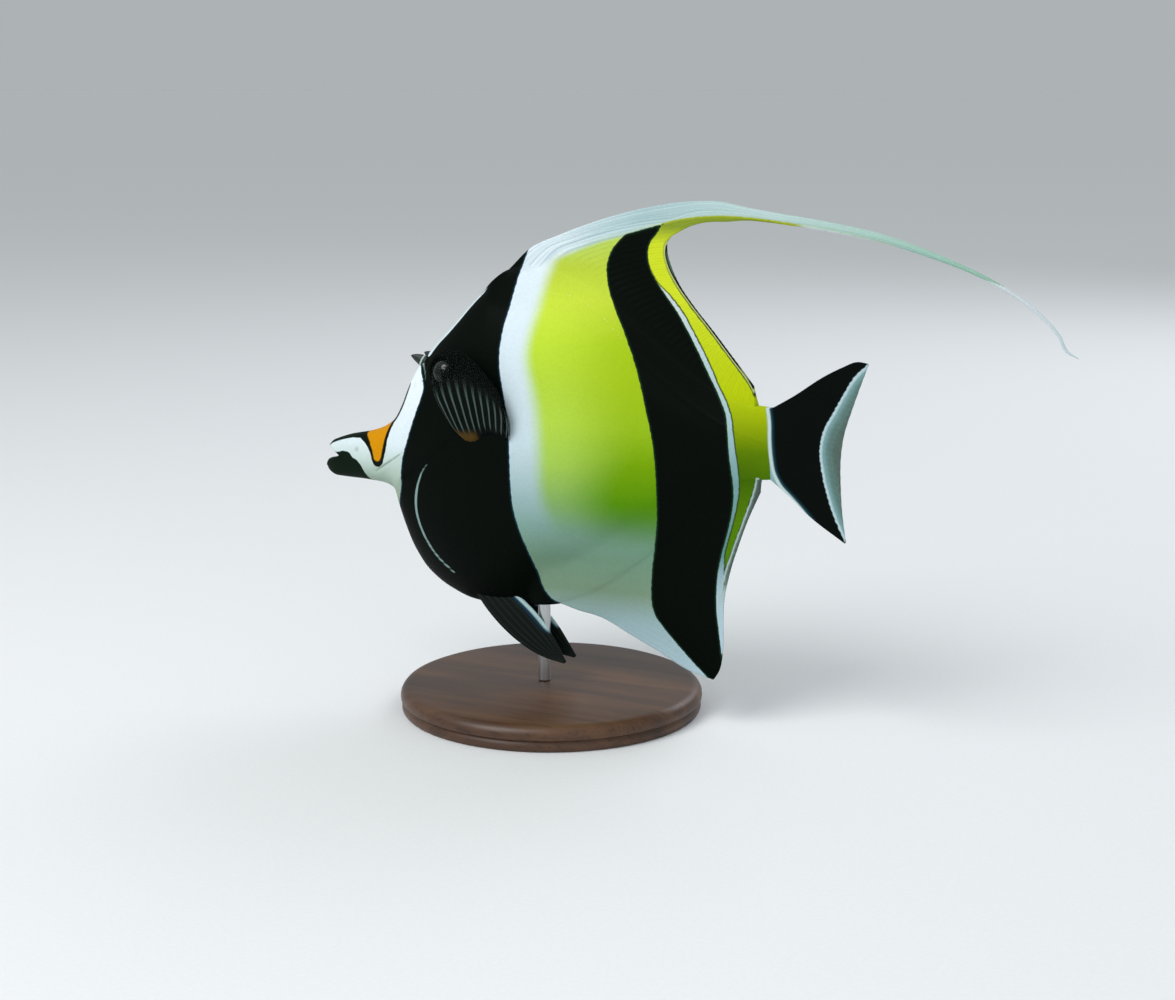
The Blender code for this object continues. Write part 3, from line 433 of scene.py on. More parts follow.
def tail_half(u, v):
    """Half thickness of the tail fin, thickest in the middle of its root."""
    root, edge = TAIL_HALF
    return edge + (root + TAIL_SWELL * np.sin(math.pi * u) - edge) * (1 - v) ** TAIL_FALL


dorsal_base, dorsal_first, dorsal_last = fin_base(DORSAL_START, DORSAL_END, -1)
dorsal, dorsal_u = fin(dorsal_base, dorsal_rim, lambda v: outline([dorsal_first, *DORSAL_FRONT[1:]], v),
                       lambda v: straight(dorsal_last, DORSAL_REAR[-1], v), DORSAL_RAYS,
                       thinning(DORSAL_HALF, lambda v: 1 - v ** FIN_FALL))
anal_base, anal_first, anal_last = fin_base(ANAL_START, ANAL_END, 0)
fin(anal_base, lambda u: outline(ANAL_REAR, u), lambda v: outline([anal_first, *ANAL_FRONT[1:]], v),
    lambda v: straight(anal_last, ANAL_REAR[-1], v), ANAL_RAYS,
    thinning(ANAL_HALF, lambda v: 1 - v ** FIN_FALL))
fin(body[-1], lambda u: outline(TAIL_REAR, u), lambda v: outline(TAIL_LOWER, v),
    lambda v: outline(TAIL_UPPER, v), TAIL_RAYS, tail_half)


def thread():
    """The long thread, woven on from the fin's uppermost columns and drawn out to its tip."""
    held = [i for i, u in enumerate(dorsal_u) if u <= THREAD_SHARE]
    across = dorsal_u[held] / dorsal_u[held[-1]]
    fine = outline(THREAD_UPPER, np.linspace(0, 1, 600))
    travelled = way_along(fine)
    length = travelled[-1]
    along = np.gradient(fine, travelled, axis=0)
    s = np.arange(THREAD_STEP, length, THREAD_STEP)
    upper, forward = [np.stack([np.interp(s, travelled, c) for c in table.T], -1) for table in (fine, along)]
    turned = np.clip((s - THREAD_UPRIGHT) / THREAD_UPRIGHT, 0.0, 1.0)
    down = np.stack([turned * forward[:, 1], -turned * forward[:, 0] - (1 - turned)], axis=-1)
    down /= np.linalg.norm(down, axis=1)[:, None]
    near_tip = 1 - smooth(length - s, 0.0, THREAD_TIP_BLEND)
    depth = profile(THREAD_DEPTHS)(s) * (1 - (1 - THREAD_TIP_SHARE) * near_tip)
    points = upper[None] + down[None] * depth[None, :, None] * across[:, None, None]
    rounding = np.sqrt(np.clip(1 - (2 * across - 1) ** 4, 0.04, 1))[:, None]
    thick = np.minimum(THREAD_HALF_THICKNESS, depth / 2)[None] * rounding
    start = smooth(s, 0.0, THREAD_ROOT_BLEND)[None]
    thick = (1 - start) * DORSAL_HALF[1] + start * thick
    grid = store(points, thick, (dorsal_u[held] * DORSAL_RAYS)[:, None], 1.0 + s[None] / length)
    quads.extend(patches(np.concatenate((dorsal[held, -1][:, None], grid), axis=1)))


thread()
places, half, ray, reach = (np.array(v, float) for v in (places, half, ray, reach))
quads = np.array(quads)
edges = np.unique(np.sort(np.concatenate([quads[:, [i, (i + 1) % 4]] for i in range(4)]), axis=1), axis=0)


def relaxed(values, weights, rounds):
    """The values drawn towards their neighbours' mean, by the weights, a number of times."""
    degree = np.bincount(edges.ravel(), minlength=len(values))
    for _ in range(rounds):
        total = np.bincount(edges[:, 0], values[edges[:, 1]], len(values))
        total += np.bincount(edges[:, 1], values[edges[:, 0]], len(values))
        values = values + weights * (total / degree - values)
    return values


def distance(points):
    """Signed distance of every place to a line: positive on its left-hand side going along it."""
    line = outline(points, np.linspace(0, 1, LINE_CORNERS))
    best = np.full(len(places), np.inf)
    signed = np.zeros(len(places))
    for start, end in zip(line[:-1], line[1:]):
        along = end - start
        length = np.dot(along, along)
        if length == 0.0:
            continue
        offset = places - start
        share = offset @ along / length
        gap = offset - np.clip(share, 0, 1)[:, None] * along
        far = np.hypot(gap[:, 0], gap[:, 1])
        side = offset[:, 1] * along[0] - offset[:, 0] * along[1]
        nearer = far < best - 1e-9
        best[nearer] = far[nearer]
        signed[nearer] = np.sign(side[nearer]) * far[nearer]
    return signed


# The lines that part the colours and the folds, all drawn in the same side view, top or front first
BAND_ONE_FRONT = [(33.6, 26.0), (35.9, 21.6), (37.4, 19.2), (38.8, 16.6), (39.5, 14.8), (39.6, 13.2),
                  (38.7, 10.2), (37.3, 6.7), (35.8, 2.8), (34.5, -0.8), (33.1, -4.8), (32.0, -7.9),
                  (31.5, -11.0), (31.1, -15.4), (30.4, -19.8), (28.9, -24.5), (26.5, -30.0)]
BAND_ONE_REAR = [(74.2, 59.6), (71.2, 50.2), (69.3, 42.1), (67.8, 33.7), (67.3, 27.2), (67.8, 21.5),
                 (69.1, 15.8), (70.4, 9.4), (71.2, 3.2), (71.5, -3.0), (71.7, -13.6), (72.3, -21.9),
                 (73.8, -28.3), (75.8, -34.9), (77.9, -42.5), (79.2, -47.4), (81.6, -50.6), (85.6, -52.8),
                 (90.0, -56.0)]
BAND_TWO_FRONT = [(107.5, 65.4), (104.7, 62.8), (102.1, 60.2), (100.5, 57.7), (99.7, 55.3), (99.5, 52.9),
                  (99.9, 49.9), (101.2, 45.3), (103.8, 39.7), (106.3, 34.7), (108.5, 29.9),
                  (112.3, 20.6), (116.0, 8.4), (117.6, 1.0), (118.3, -6.0), (118.5, -12.0),
                  (118.1, -19.1), (116.9, -28.3), (115.5, -36.5), (114.8, -43.6), (114.9, -49.6),
                  (116.2, -53.6), (119.1, -57.0), (123.5, -61.6), (127.9, -65.9), (136.0, -73.0)]
BAND_TWO_REAR = [(119.0, 68.4), (117.3, 66.6), (115.4, 63.8), (113.6, 61.7), (112.8, 59.7), (112.7, 56.9),
                 (113.5, 53.6), (115.3, 50.3), (117.5, 47.2), (121.9, 41.6), (127.2, 33.2),
                 (133.5, 22.2), (137.3, 15.9), (139.7, 11.2), (140.8, 6.2), (141.3, 0.7),
                 (141.7, -5.5), (141.8, -10.9), (141.5, -15.5), (140.3, -21.9), (138.8, -27.8),
                 (137.4, -33.1), (136.5, -38.4), (136.1, -44.2), (136.3, -50.0), (137.1, -55.8),
                 (137.9, -61.5), (138.6, -66.1), (139.5, -72.0)]
CREST_LOW = [(74.0, 52.0), (78.7, 54.3), (83.8, 56.2), (88.7, 58.2), (93.7, 60.2), (98.1, 61.6),
             (104.7, 63.3), (111.3, 65.1), (117.3, 66.8), (121.6, 67.9), (128.4, 69.0), (134.7, 69.5),
             (141.0, 69.5), (147.2, 69.1), (154.0, 68.4), (167.3, 66.7), (184.8, 63.5), (202.0, 58.2)]
PALE_REAR = [(113.0, 54.6), (115.7, 49.9), (120.4, 45.5), (124.0, 41.3), (128.8, 33.7), (133.4, 25.8),
             (136.9, 19.2), (139.4, 15.4), (141.8, 10.3), (143.0, 5.0), (143.8, -0.2), (144.0, -5.9),
             (143.7, -10.8), (143.0, -15.4), (141.5, -21.8), (140.0, -27.1), (138.9, -31.5), (138.8, -35.0),
             (138.7, -38.0)]
YELLOW_EDGE = [(152.0, 64.6), (140.0, 66.4), (129.3, 66.4), (124.6, 65.0), (120.8, 63.4), (118.4, 61.6),
               (117.7, 58.6), (118.7, 54.4), (121.5, 49.3), (126.1, 43.3), (132.4, 36.2), (139.5, 28.0),
               (146.3, 20.2), (148.6, 16.5)]
GREEN_REAR = [(150.2, -3.5), (149.6, -6.0), (148.4, -10.2), (146.8, -14.9), (144.8, -20.2), (142.8, -25.6),
              (140.9, -30.9), (140.2, -33.0), (139.2, -36.0), (138.0, -41.0)]
TAIL_PALE = [(152.3, 15.5), (153.5, 10.0), (154.0, 4.3), (154.5, -0.8), (155.2, -4.6), (157.2, -8.2),
             (161.3, -12.0), (166.6, -16.8), (172.0, -22.6)]
TAIL_MARGIN = [(186.5, 30.8), (181.2, 25.8), (177.9, 20.6), (174.8, 15.2), (172.1, 10.5), (170.8, 6.1),
               (170.6, 2.2), (171.2, -1.5), (172.2, -5.7), (173.6, -9.9), (175.1, -13.8), (177.3, -18.2),
               (180.4, -23.4)]
MUZZLE_WIDTHS = [(-2.0, 0.3), (1.0, 0.6), (10.0, 0.9), (12.0, 1.2), (20.0, 1.5), (24.8, 1.3), (28.6, 1.7),
                 (30.7, 2.1), (32.3, 2.0), (34.2, 1.0)]
FOREHEAD_END = 14.5
SADDLE = [(11.5, -2.0), (12.6, -4.6), (14.3, -5.5), (16.1, -6.9), (17.5, -8.7), (18.2, -10.8),
          (19.0, -12.7), (20.6, -13.4), (22.4, -12.4), (23.6, -9.8), (24.4, -6.7), (24.9, -3.7),
          (25.7, -0.8), (26.8, 2.6), (26.0, 6.0), (18.0, 2.0)]
ORANGE = [(14.6, -2.6), (16.0, -4.2), (17.0, -5.2), (17.9, -6.8), (18.9, -9.0), (19.5, -11.1),
          (20.7, -11.5), (21.8, -10.7), (22.5, -8.5), (23.2, -5.5), (23.7, -2.9), (24.3, -0.6),
          (25.0, 1.6), (24.8, 5.0), (18.0, 2.0)]
JAW_EDGE = [(-3.0, -9.6), (1.6, -9.9), (4.4, -9.9), (7.0, -9.4), (8.9, -9.6), (10.3, -11.0), (12.5, -12.2),
            (13.7, -13.6), (14.6, -15.3), (15.4, -16.9), (16.3, -18.2), (17.2, -20.5)]
CHEEK_FOLD = [(32.0, -7.0), (27.5, -9.9), (23.4, -12.4), (19.1, -15.0)]
BROW_LINE = [(36.6, 22.3), (37.9, 20.9), (39.1, 19.4), (39.9, 17.6), (40.2, 15.6)]
NAPE_LINE = [(39.2, 23.4), (40.0, 24.9), (41.6, 27.2), (46.1, 31.7), (50.1, 35.9), (54.2, 40.5), (60.0, 45.9)]
CHEST_ARC = [(42.6, -8.7), (39.6, -12.7), (37.3, -18.6), (36.5, -25.0), (38.2, -32.6), (42.0, -39.4),
             (49.3, -46.2)]
LATERAL_LINE = [(60.0, 18.0), (64.0, 27.5), (68.6, 35.2), (75.2, 42.2), (82.4, 45.2), (90.4, 44.2),
                (98.7, 39.3), (105.7, 32.6), (114.0, 24.8), (126.0, 15.6), (138.0, 8.8), (152.0, 4.2)]
GILL_EDGE = [(55.0, 20.0), (56.6, 12.0), (56.4, 7.4), (54.8, 3.5), (51.4, 0.5), (47.6, -2.9), (43.6, -6.4),
             (38.9, -9.7), (34.0, -13.0), (30.2, -17.0), (27.6, -21.5)]
EYE_CENTRE, EYE_RADIUS, EYE_DEPTH, EYE_SINK = (45.8, 19.6), 4.2, 2.9, 2.0
NOSTRILS, NOSTRIL_RADIUS = [(36.4, 14.6), (38.6, 15.6)], 0.55
SNOUT_DIMPLE = (12.0, -8.4)
SOCKET_EDGE = (3.55, 4.25)
SOCKET_DEPTH = 2.3
EYE_ZONE, GILL_ZONE, NOSTRIL_ZONE = 6.2, 2.2, 2.4
FIN_ROOT_BLEND, ROOT_ROUNDS = 12.0, 600
RAY_RISE = 0.13

# Thin painted lines: the line, its half width, and over what share of it each end narrows. The
# line along the cheek fold is painted shade in its crease.
THIN_LINES = {"chest_arc": (CHEST_ARC, 0.46, 0.3, 0.04), "brow_line": (BROW_LINE, 0.42, 0.1, 0.8),
              "nape_line": (NAPE_LINE, 0.78, 0.04, 0.9), "fold_line": (CHEEK_FOLD, 0.3, 0.3, 0.3),
              "lateral_line": (LATERAL_LINE, 0.3, 0.1, 0.1)}

# How far behind the first band the lemon colour starts and is full, how high up it fades out below,
# over x, and where its deeper tone starts and is full. The deeper tone, greener towards the back
# and low down, is partly painted shade.
LEMON_START, LEMON_FULL, LEMON_FULL_ABOVE = 5.0, 14.5, 13.0
LEMON_LOW, LEMON_FADE = [(72, -22.0), (80, -24.0), (100, -29.0), (118, -30.0)], 12.0
DEEP_START, DEEP_FULL, DEEP_FULL_BELOW = 13.0, 42.0, 35.0

# Where a colour field doesn't count it lies this far outside, and the tail lies before and below these
FAR = 9.0
TAIL_END_X, TAIL_TOP_Z = 190.0, 40.0
FACE_END_X, CREST_START_X, CREST_DEPTH = 50.0, 66.0, 5.0

# The fins' roots are melted into the body before anything is carved in it
fin_roots = np.full(len(places), np.inf)
for row in (dorsal_base, anal_base, body[-1]):
    for x, z in np.array([places[i] for i in row])[::3]:
        fin_roots = np.minimum(fin_roots, np.hypot(places[:, 0] - x, places[:, 1] - z))
half = relaxed(half, 0.9 * (1 - smooth(fin_roots, 0.0, FIN_ROOT_BLEND)), ROOT_ROUNDS)

# Finer faces where the small forms of the head are
sheet = bmesh.new()
layers = [sheet.verts.layers.float.new(name) for name in ("half", "ray", "reach")]
for place, *values in zip(places, half, ray, reach):
    corner = sheet.verts.new((place[0], 0.0, place[1]))
    for layer, value in zip(layers, values):
        corner[layer] = value
sheet.verts.ensure_lookup_table()
for quad in quads:
    sheet.faces.new([sheet.verts[i] for i in quad])
gill_far = np.abs(distance(GILL_EDGE))
zone = np.hypot(*(places - EYE_CENTRE).T) < EYE_ZONE
zone |= gill_far < GILL_ZONE
for spot in NOSTRILS:
    zone |= np.hypot(*(places - spot).T) < NOSTRIL_ZONE
zone &= places[:, 0] > MOUTH_CORNER_X + 1
close = [e for e in sheet.edges if all(zone[v.index] for v in e.verts)]
bmesh.ops.subdivide_edges(sheet, edges=close, cuts=1, use_grid_fill=True)
sheet.verts.ensure_lookup_table()
sheet.verts.index_update()
places = np.array([(v.co.x, v.co.z) for v in sheet.verts])
half, ray, reach = (np.array([v[layer] for v in sheet.verts]) for layer in layers)
edges = np.array([[v.index for v in e.verts] for e in sheet.edges])
faces = [[v.index for v in f.verts] for f in sheet.faces]
on_head = places[:, 0] < DORSAL_START - FIN_ROOT_BLEND
half = np.where(on_head, flank(places[:, 0], places[:, 1]), half)
rim_edges = [e for e in sheet.edges if e.is_boundary]
follow = {}
for e in rim_edges:
    for a, b in (e.verts, reversed(e.verts)):
        follow.setdefault(a.index, []).append(b.index)
first = rim_edges[0].verts[0].index
rim = [first, follow[first][0]]
while True:
    ahead = [i for i in follow[rim[-1]] if i != rim[-2]][0]
    if ahead == first:
        break
    rim.append(ahead)
sheet.free()

# The colour fields: signed distances in millimetres, positive behind, above or inside a line
x, z = places.T
low_gap = z - low_edge(x)
gill, cheek_fold = distance(GILL_EDGE), distance(CHEEK_FOLD)
profile_gap = np.abs(distance(TOP_EDGE[:16]))
mouth_gap = np.minimum(*(np.abs(distance(line)) for line in (UPPER_GAPE, LOWER_GAPE)))
mouth_gap = np.where(x < MOUTH_CORNER_X + 3.0, mouth_gap, FAR)
eye_gap, dimple_gap = (np.hypot(x - spot[0], z - spot[1]) for spot in (EYE_CENTRE, SNOUT_DIMPLE))
on_fin = reach > 0
band_one_front, band_one_rear = distance(BAND_ONE_FRONT), distance(BAND_ONE_REAR)
band_two_front, band_two_rear = distance(BAND_TWO_FRONT), distance(BAND_TWO_REAR)
crest, pale_rear, yellow_edge = distance(CREST_LOW), distance(PALE_REAR), distance(YELLOW_EDGE)
green_rear, tail_pale, tail_margin = distance(GREEN_REAR), distance(TAIL_PALE), distance(TAIL_MARGIN)


def kept(inside, field):
    """A field where inside is true, and far outside everywhere else."""
    return np.where(inside, field, -FAR)


def tapered(points, half_line, first_taper, last_taper):
    """How far a place lies inside a thin line that narrows to nothing at both its ends."""
    line = outline(points, np.linspace(0, 1, LINE_CORNERS))
    apart = np.full(len(places), np.inf)
    for i, corner in enumerate(line):
        share = i / (len(line) - 1)
        width = half_line * min(share / first_taper, (1 - share) / last_taper, 1.0) ** 0.5
        apart = np.minimum(apart, np.hypot(x - corner[0], z - corner[1]) - width)
    return -apart


tail_pale = kept((z < TAIL_TOP_Z) & (x < TAIL_END_X), tail_pale)
behind_two = np.minimum.reduce([band_two_rear, -tail_pale, -crest])
yellow_edge = kept((z > 15) & (x > 110) & (x < 150), yellow_edge)
yellow_end = np.minimum(np.where(on_fin, -green_rear, FAR), np.where(z > TAIL_TOP_Z, (156.0 - x) * 0.06, FAR))
green_edge = np.minimum.reduce([green_rear, (z + 46.0) * 0.12, 0.5 - low_gap])
lemon_full = LEMON_FULL + (LEMON_FULL_ABOVE - LEMON_FULL) * smooth(z, 10, 30)
lemon_low = np.interp(x, *np.transpose(LEMON_LOW))
deep_full = DEEP_FULL_BELOW + (DEEP_FULL - DEEP_FULL_BELOW) * smooth(z, -16, -2)
muzzle_width = np.interp(x, *np.transpose(MUZZLE_WIDTHS))
fields = {
    "face": FACE_END_X - x,
    "band_one": np.minimum(band_one_front, -band_one_rear),
    "band_two": np.minimum.reduce([band_two_front, -band_two_rear, -crest]),
    "crest": np.where(x > TAIL_END_X, CREST_DEPTH, np.where(x > CREST_START_X, crest, -CREST_DEPTH)),
    "behind_two": behind_two,
    "rear_yellow": np.minimum.reduce([pale_rear, behind_two, -yellow_edge, yellow_end]),
    "yellow_edge": yellow_edge,
    "green_rear": kept((x > 130) & (x < 151), green_edge),
    "tail_pale": tail_pale,
    "tail_margin": kept((x > 160) & (x < TAIL_END_X) & (z < TAIL_TOP_Z), tail_margin),
    "saddle": distance([*SADDLE, SADDLE[0]]),
    "orange": distance([*ORANGE, ORANGE[0]]),
    "jaw": kept(x < 25, -distance(JAW_EDGE)),
    "cheek_fold": kept(x < 36, cheek_fold),
    "muzzle": kept(x < 36, np.minimum(muzzle_width - profile_gap, (FOREHEAD_END - z) * 0.5)),
    "dimple_shade": 1.3 - dimple_gap,
    "lemon": smooth(band_one_rear, LEMON_START, lemon_full) * smooth(z - lemon_low, -LEMON_FADE, LEMON_FADE),
    "deep_lemon_and_shade": smooth(band_one_rear, DEEP_START, deep_full),
    "ray": ray,
    "reach": reach,
}
fields.update((name, tapered(*line)) for name, line in THIN_LINES.items())


def rise(value, middle, width):
    """A rounded rise, 1 high, where a value passes its middle."""
    return np.exp(-((value - middle) / width) ** 2)


# Relief in millimetres: gill cover, eye sockets, nostrils, lips, folds, lateral line and fin rays
relief = np.where(gill < 0, 0.55 * rise(gill, 0.0, 5.0),
                  0.55 * (1 - smooth(gill, 0.0, 0.8)) - 0.35 * rise(gill, 1.0, 0.8))
relief *= smooth(z, -22, -14) * (1 - smooth(z, 13, 20)) * (x < 70)
relief -= SOCKET_DEPTH * (1 - smooth(eye_gap, *SOCKET_EDGE))
for spot in NOSTRILS:
    far = np.hypot(x - spot[0], z - spot[1])
    relief += 0.16 * rise(far, 0.85, 0.3) - 0.7 * (1 - smooth(far, 0.1, NOSTRIL_RADIUS + 0.2))
relief -= 0.7 * np.exp(-mouth_gap / 0.22)
for height, value, middle, width in (
        (0.35, eye_gap, 4.9, 0.8), (0.42, mouth_gap, 0.6, 0.5), (-0.22, cheek_fold, 0.0, 0.7),
        (-0.25, dimple_gap, 0.0, 1.3), (0.11, np.where(on_fin, FAR, distance(LATERAL_LINE)), 0.0, 0.5)):
    relief += height * rise(value, middle, width)
crest_of_ray = (0.5 + 0.5 * np.cos(2 * math.pi * ray)) ** 1.6
ray_strength = np.where((z < 0) & (x < 150), 0.5 * smooth(reach, 0.1, 0.6), smooth(reach, 0.0, 0.25))
relief += RAY_RISE * crest_of_ray * on_fin * ray_strength * (1 - 0.5 * np.clip(reach, 0, 1))
relief *= 1 - smooth(reach, 1.02, 1.25)
half = np.maximum(half + relief, 0.05)


def swept(x, y, z, bends):
    """Where a place of the straight fish is once its tail is swept and it stands on its rod."""
    full = SWEEP_ANGLE * (1 - smooth(z, *SWEEP_FADE)) * bends
    span = SWEEP_END - SWEEP_START
    bent = np.clip(x - SWEEP_START, 0.0, span)
    angle = full * (bent / span) ** 2
    straight_on = np.maximum(x - SWEEP_START - bent, 0.0)
    curl = full ** 2 * bent ** 5 / (10 * span ** 4)
    forward = np.minimum(x, SWEEP_START) + bent - curl + straight_on * np.cos(angle)
    aside = full * bent ** 3 / (3 * span ** 2) + straight_on * np.sin(angle)
    placed = np.stack([forward + y * np.sin(angle), y * np.cos(angle) - aside, z], axis=-1)
    return (placed + np.array(FISH_TO_FRAME)) * MM


def cast_piece(name, corners, polygons, values, finishes):
    """A smooth mesh object from corners in the straight fish, with its fields as attributes."""
    mesh = bpy.data.meshes.new(name)
    on_thread = values.get("reach", np.zeros(1)) > 1.0
    mesh.from_pydata(swept(*corners.T, ~on_thread).tolist(), [], polygons)
    for field, numbers in values.items():
        layer = mesh.attributes.new(field, "FLOAT", "POINT")
        layer.data.foreach_set("value", np.asarray(numbers, np.float32))
    layer = mesh.attributes.new("straight", "FLOAT_VECTOR", "POINT")
    layer.data.foreach_set("vector", corners.astype(np.float32).ravel())
    work = bmesh.new()
    work.from_mesh(mesh)
    bmesh.ops.recalc_face_normals(work, faces=work.faces)
    work.to_mesh(mesh)
    work.free()
    mesh.shade_smooth()
    for finish in finishes:
        mesh.materials.append(finish)
    item = bpy.data.objects.new(name, mesh)
    bpy.context.scene.collection.objects.link(item)
    return item


# The rim: rounded over along the outline, and hollowed where it lines the mouth
count = len(places)
rim = np.array(rim)
loop = places[rim]
along = np.roll(loop, -1, axis=0) - np.roll(loop, 1, axis=0)
along /= np.linalg.norm(along, axis=1)[:, None]
turn = np.sum(loop[:, 0] * np.roll(loop[:, 1], -1) - loop[:, 1] * np.roll(loop[:, 0], -1))
outward = np.stack([along[:, 1], -along[:, 0]], axis=1) * np.sign(turn)
in_mouth = (mouth_gap[rim] < 0.05) & (loop[:, 0] <= MOUTH_CORNER_X + 0.01) & (loop[:, 0] > 0.4)
push = np.where(in_mouth, -0.9, np.minimum(0.85 * half[rim], 0.32))
corners = [np.stack([x, -half, z], axis=1), np.stack([x, half, z], axis=1)]
for k in range(1, RIM_STEPS):
    turned = math.pi * k / RIM_STEPS
    offset = outward * (push * math.sin(turned))[:, None]
    corners.append(np.stack([loop[:, 0] + offset[:, 0], -half[rim] * math.cos(turned),
                             loop[:, 1] + offset[:, 1]], axis=1))
corners = np.concatenate(corners)
steps = [rim] + [2 * count + k * len(rim) + np.arange(len(rim)) for k in range(RIM_STEPS - 1)] + [rim + count]
polygons = faces + [[i + count for i in reversed(face)] for face in faces]
for near, far in zip(steps[:-1], steps[1:]):
    strip = np.stack([near, np.roll(near, -1), np.roll(far, -1), far], axis=1)
    polygons.extend(strip.tolist())
owner = np.concatenate([np.arange(count)] * 2 + [rim] * (RIM_STEPS - 1))
values = {name: numbers[owner] for name, numbers in fields.items()}
values["mouth_lining"] = np.concatenate((np.zeros(2 * count), np.tile(in_mouth.astype(float), RIM_STEPS - 1)))
clear = np.maximum.reduce([
    0.25 * smooth(fields["tail_margin"], 0.9, 3.2),
    0.25 * smooth(fields["yellow_edge"], 0.4, 0.9) * (x > 117) * on_fin * (reach < 1.0),
    0.2 * smooth(fields["green_rear"], 0.5, 1.2) * on_fin])
values["clear"] = clear[owner]


def coat(tree, under, over, field, start, soft, offset=None, share=1.0):
    """One colour laid over another where a field of the skin passes its start."""
    value = add(tree, "ShaderNodeAttribute", attribute_name=field).outputs["Fac"]
    if offset:
        value = add(tree, "ShaderNodeMath", {0: value, 1: offset}, operation="ADD").outputs[0]
    mask = add(tree, "ShaderNodeMapRange",
               {"Value": value, "From Min": start - soft, "From Max": start + soft, "To Max": share},
               interpolation_type="SMOOTHSTEP")
    return add(tree, "ShaderNodeMix", {"Factor": mask.outputs["Result"], UNDER: under, OVER: over},
               data_type="RGBA").outputs[MIXED]


LOWEST, HIGHEST = -75.0, 75.0
CREST_START, THREAD_TIP = 60.0, 242.0

# Tones up the fish, by the height z of each, and along the crest by its x. Low down they are
# darker partly as painted shade: the belly, throat and lower flanks are painted darker where
# the light from above falls off.
TONES = {
    "white": [(-72, "B6CED8"), (-57, "9FBBC0"), (-47, "7F9A80"), (-36, "769A82"), (-26, "86AAA0"),
              (-18, "9CB9BA"), (0, "C8DBE1"), (25, "D6E5EC"), (50, "DFECF3")],
    "face": [(-40, "74886A"), (-24, "7C9072"), (-19, "92A692"), (-15, "AEC2B6"), (-11, "C6D7D2"),
             (-5, "DAE8EC"), (5, "E2EDF3"), (20, "E8F2F7")],
    "lemon": [(-38, "5E8E60"), (-28, "6C9866"), (-18, "86B060"), (-6, "A6CC54"), (6, "B4D648"),
              (18, "B4D43E"), (31, "BEDC36"), (43, "CAE040"), (53, "B8CC3C"), (62, "B8D068")],
    "deep lemon and shade": [(-38, "5C8A66"), (-29, "56883E"), (-18, "589208"), (-6, "74A202"), (6, "96BC1C"),
                   (18, "A0C018"), (31, "A6C61A"), (43, "BED23A"), (53, "BCD242")],
    "pale": [(-70, "BCD6E2"), (-45, "AFC6CE"), (-38, "96B2BC"), (-32, "5E8C8C"), (-10, "78A2A4"),
             (10, "A2C0C4"), (30, "BCD0D4"), (50, "CDD8DC")],
    "lining": [(44, "39481C"), (56, "A2AE2A")],
    "rear yellow": [(-38, "4A8006"), (-22, "527E04"), (-8, "426A00"), (1, "5C7E00"), (8, "8AA002"),
                    (18, "B4C608"), (45, "D0DE2A"), (61, "CCDA2A"), (66, "86992E")],
    "brow": [(14, "26362A"), (17, "566E58"), (20, "8FA79C"), (22, "C0D6D2")],
}
CREST_TONES = [(70, "E2EDF4"), (84, "DEEBF0"), (96, "C8DCE0"), (110, "B8D0D2"), (150, "C2D8D4"),
               (200, "A4C8B4"), (235, "8AB892")]

# The coats of paint, first to last: the field that bounds it, its tone, where in the field it
# starts, how softly, what roughens its edge and the share of it that covers
COATS = [
    ("face", "face", 0.0, 1.0, "even", 1.0),
    ("lemon", "flank", 0.5, 0.5, "even", 1.0),
    ("lateral_line", "E2EAB4", 0.0, 0.15, "even", 0.45),
    # Painted shade: a greyer tone under the cheek fold, where the underside of the head turns away from the
    # light
    ("cheek_fold", "A8BCAE", 0.3, 0.8, "even", 0.4),
    # Painted shade: a darker line in the crease of the cheek fold
    ("fold_line", "6E8474", -0.05, 0.25, "even", 0.7),
    # Painted shade: a grey spot in the dimple on the snout
    ("dimple_shade", "9A9C94", 0.6, 0.7, "even", 0.55),
    ("crest", "crest", -0.3, 1.3, "feathered", 1.0),
    ("behind_two", "pale", 0.0, 0.2, "ragged", 1.0),
    ("rear_yellow", "lining", -0.25, 0.15, "ragged", 1.0),
    ("rear_yellow", "rear yellow", 0.2, 0.2, "ragged", 1.0),
    ("yellow_edge", "B4C07A", 0.15, 0.15, "even", 1.0),
    ("yellow_edge", "10160E", 0.5, 0.1, "even", 1.0),
    ("yellow_edge", "56705A", 0.95, 0.2, "even", 1.0),
    ("green_rear", "A9BFBC", 0.0, 0.2, "ragged", 1.0),
    ("green_rear", "62766C", 0.5, 0.25, "ragged", 1.0),
    ("green_rear", "3E5046", 1.1, 0.3, "ragged", 1.0),
    ("tail_pale", "BCD0CE", -0.2, 0.3, "even", 1.0),
    ("tail_pale", "1B4654", 0.95, 0.35, "even", 1.0),
    ("tail_pale", "020806", 1.6, 0.8, "even", 1.0),
    ("tail_margin", "B4CCD2", 0.0, 0.2, "scalloped", 1.0),
    ("tail_margin", "7A9E9E", 0.8, 0.4, "scalloped", 1.0),
    ("tail_margin", "52766E", 2.2, 1.2, "even", 1.0),
    ("tail_margin", "3E5C50", 4.2, 1.6, "even", 1.0),
    ("muzzle", "0A1A10", 0.0, 0.15, "even", 1.0),
    ("saddle", "081209", 0.0, 0.15, "ragged", 1.0),
    ("orange", "D28E04", 0.0, 0.3, "ragged", 1.0),
    ("jaw", "0A1A0E", 0.0, 0.15, "ragged", 1.0),
    ("band_one", "123240", -0.05, 0.14, "ragged", 1.0),
    ("band_one", "010703", 0.4, 0.35, "ragged", 1.0),
    ("band_two", "14301E", -0.05, 0.14, "ragged", 1.0),
    ("band_two", "010703", 0.4, 0.35, "ragged", 1.0),
    ("chest_arc", "84A09C", 0.0, 0.15, "even", 1.0),
    ("brow_line", "brow", 0.0, 0.15, "even", 1.0),
    ("nape_line", "D6E8EE", 0.0, 0.15, "even", 1.0),
    ("mouth_lining", "2A1210", 0.5, 0.4, "even", 1.0),
]

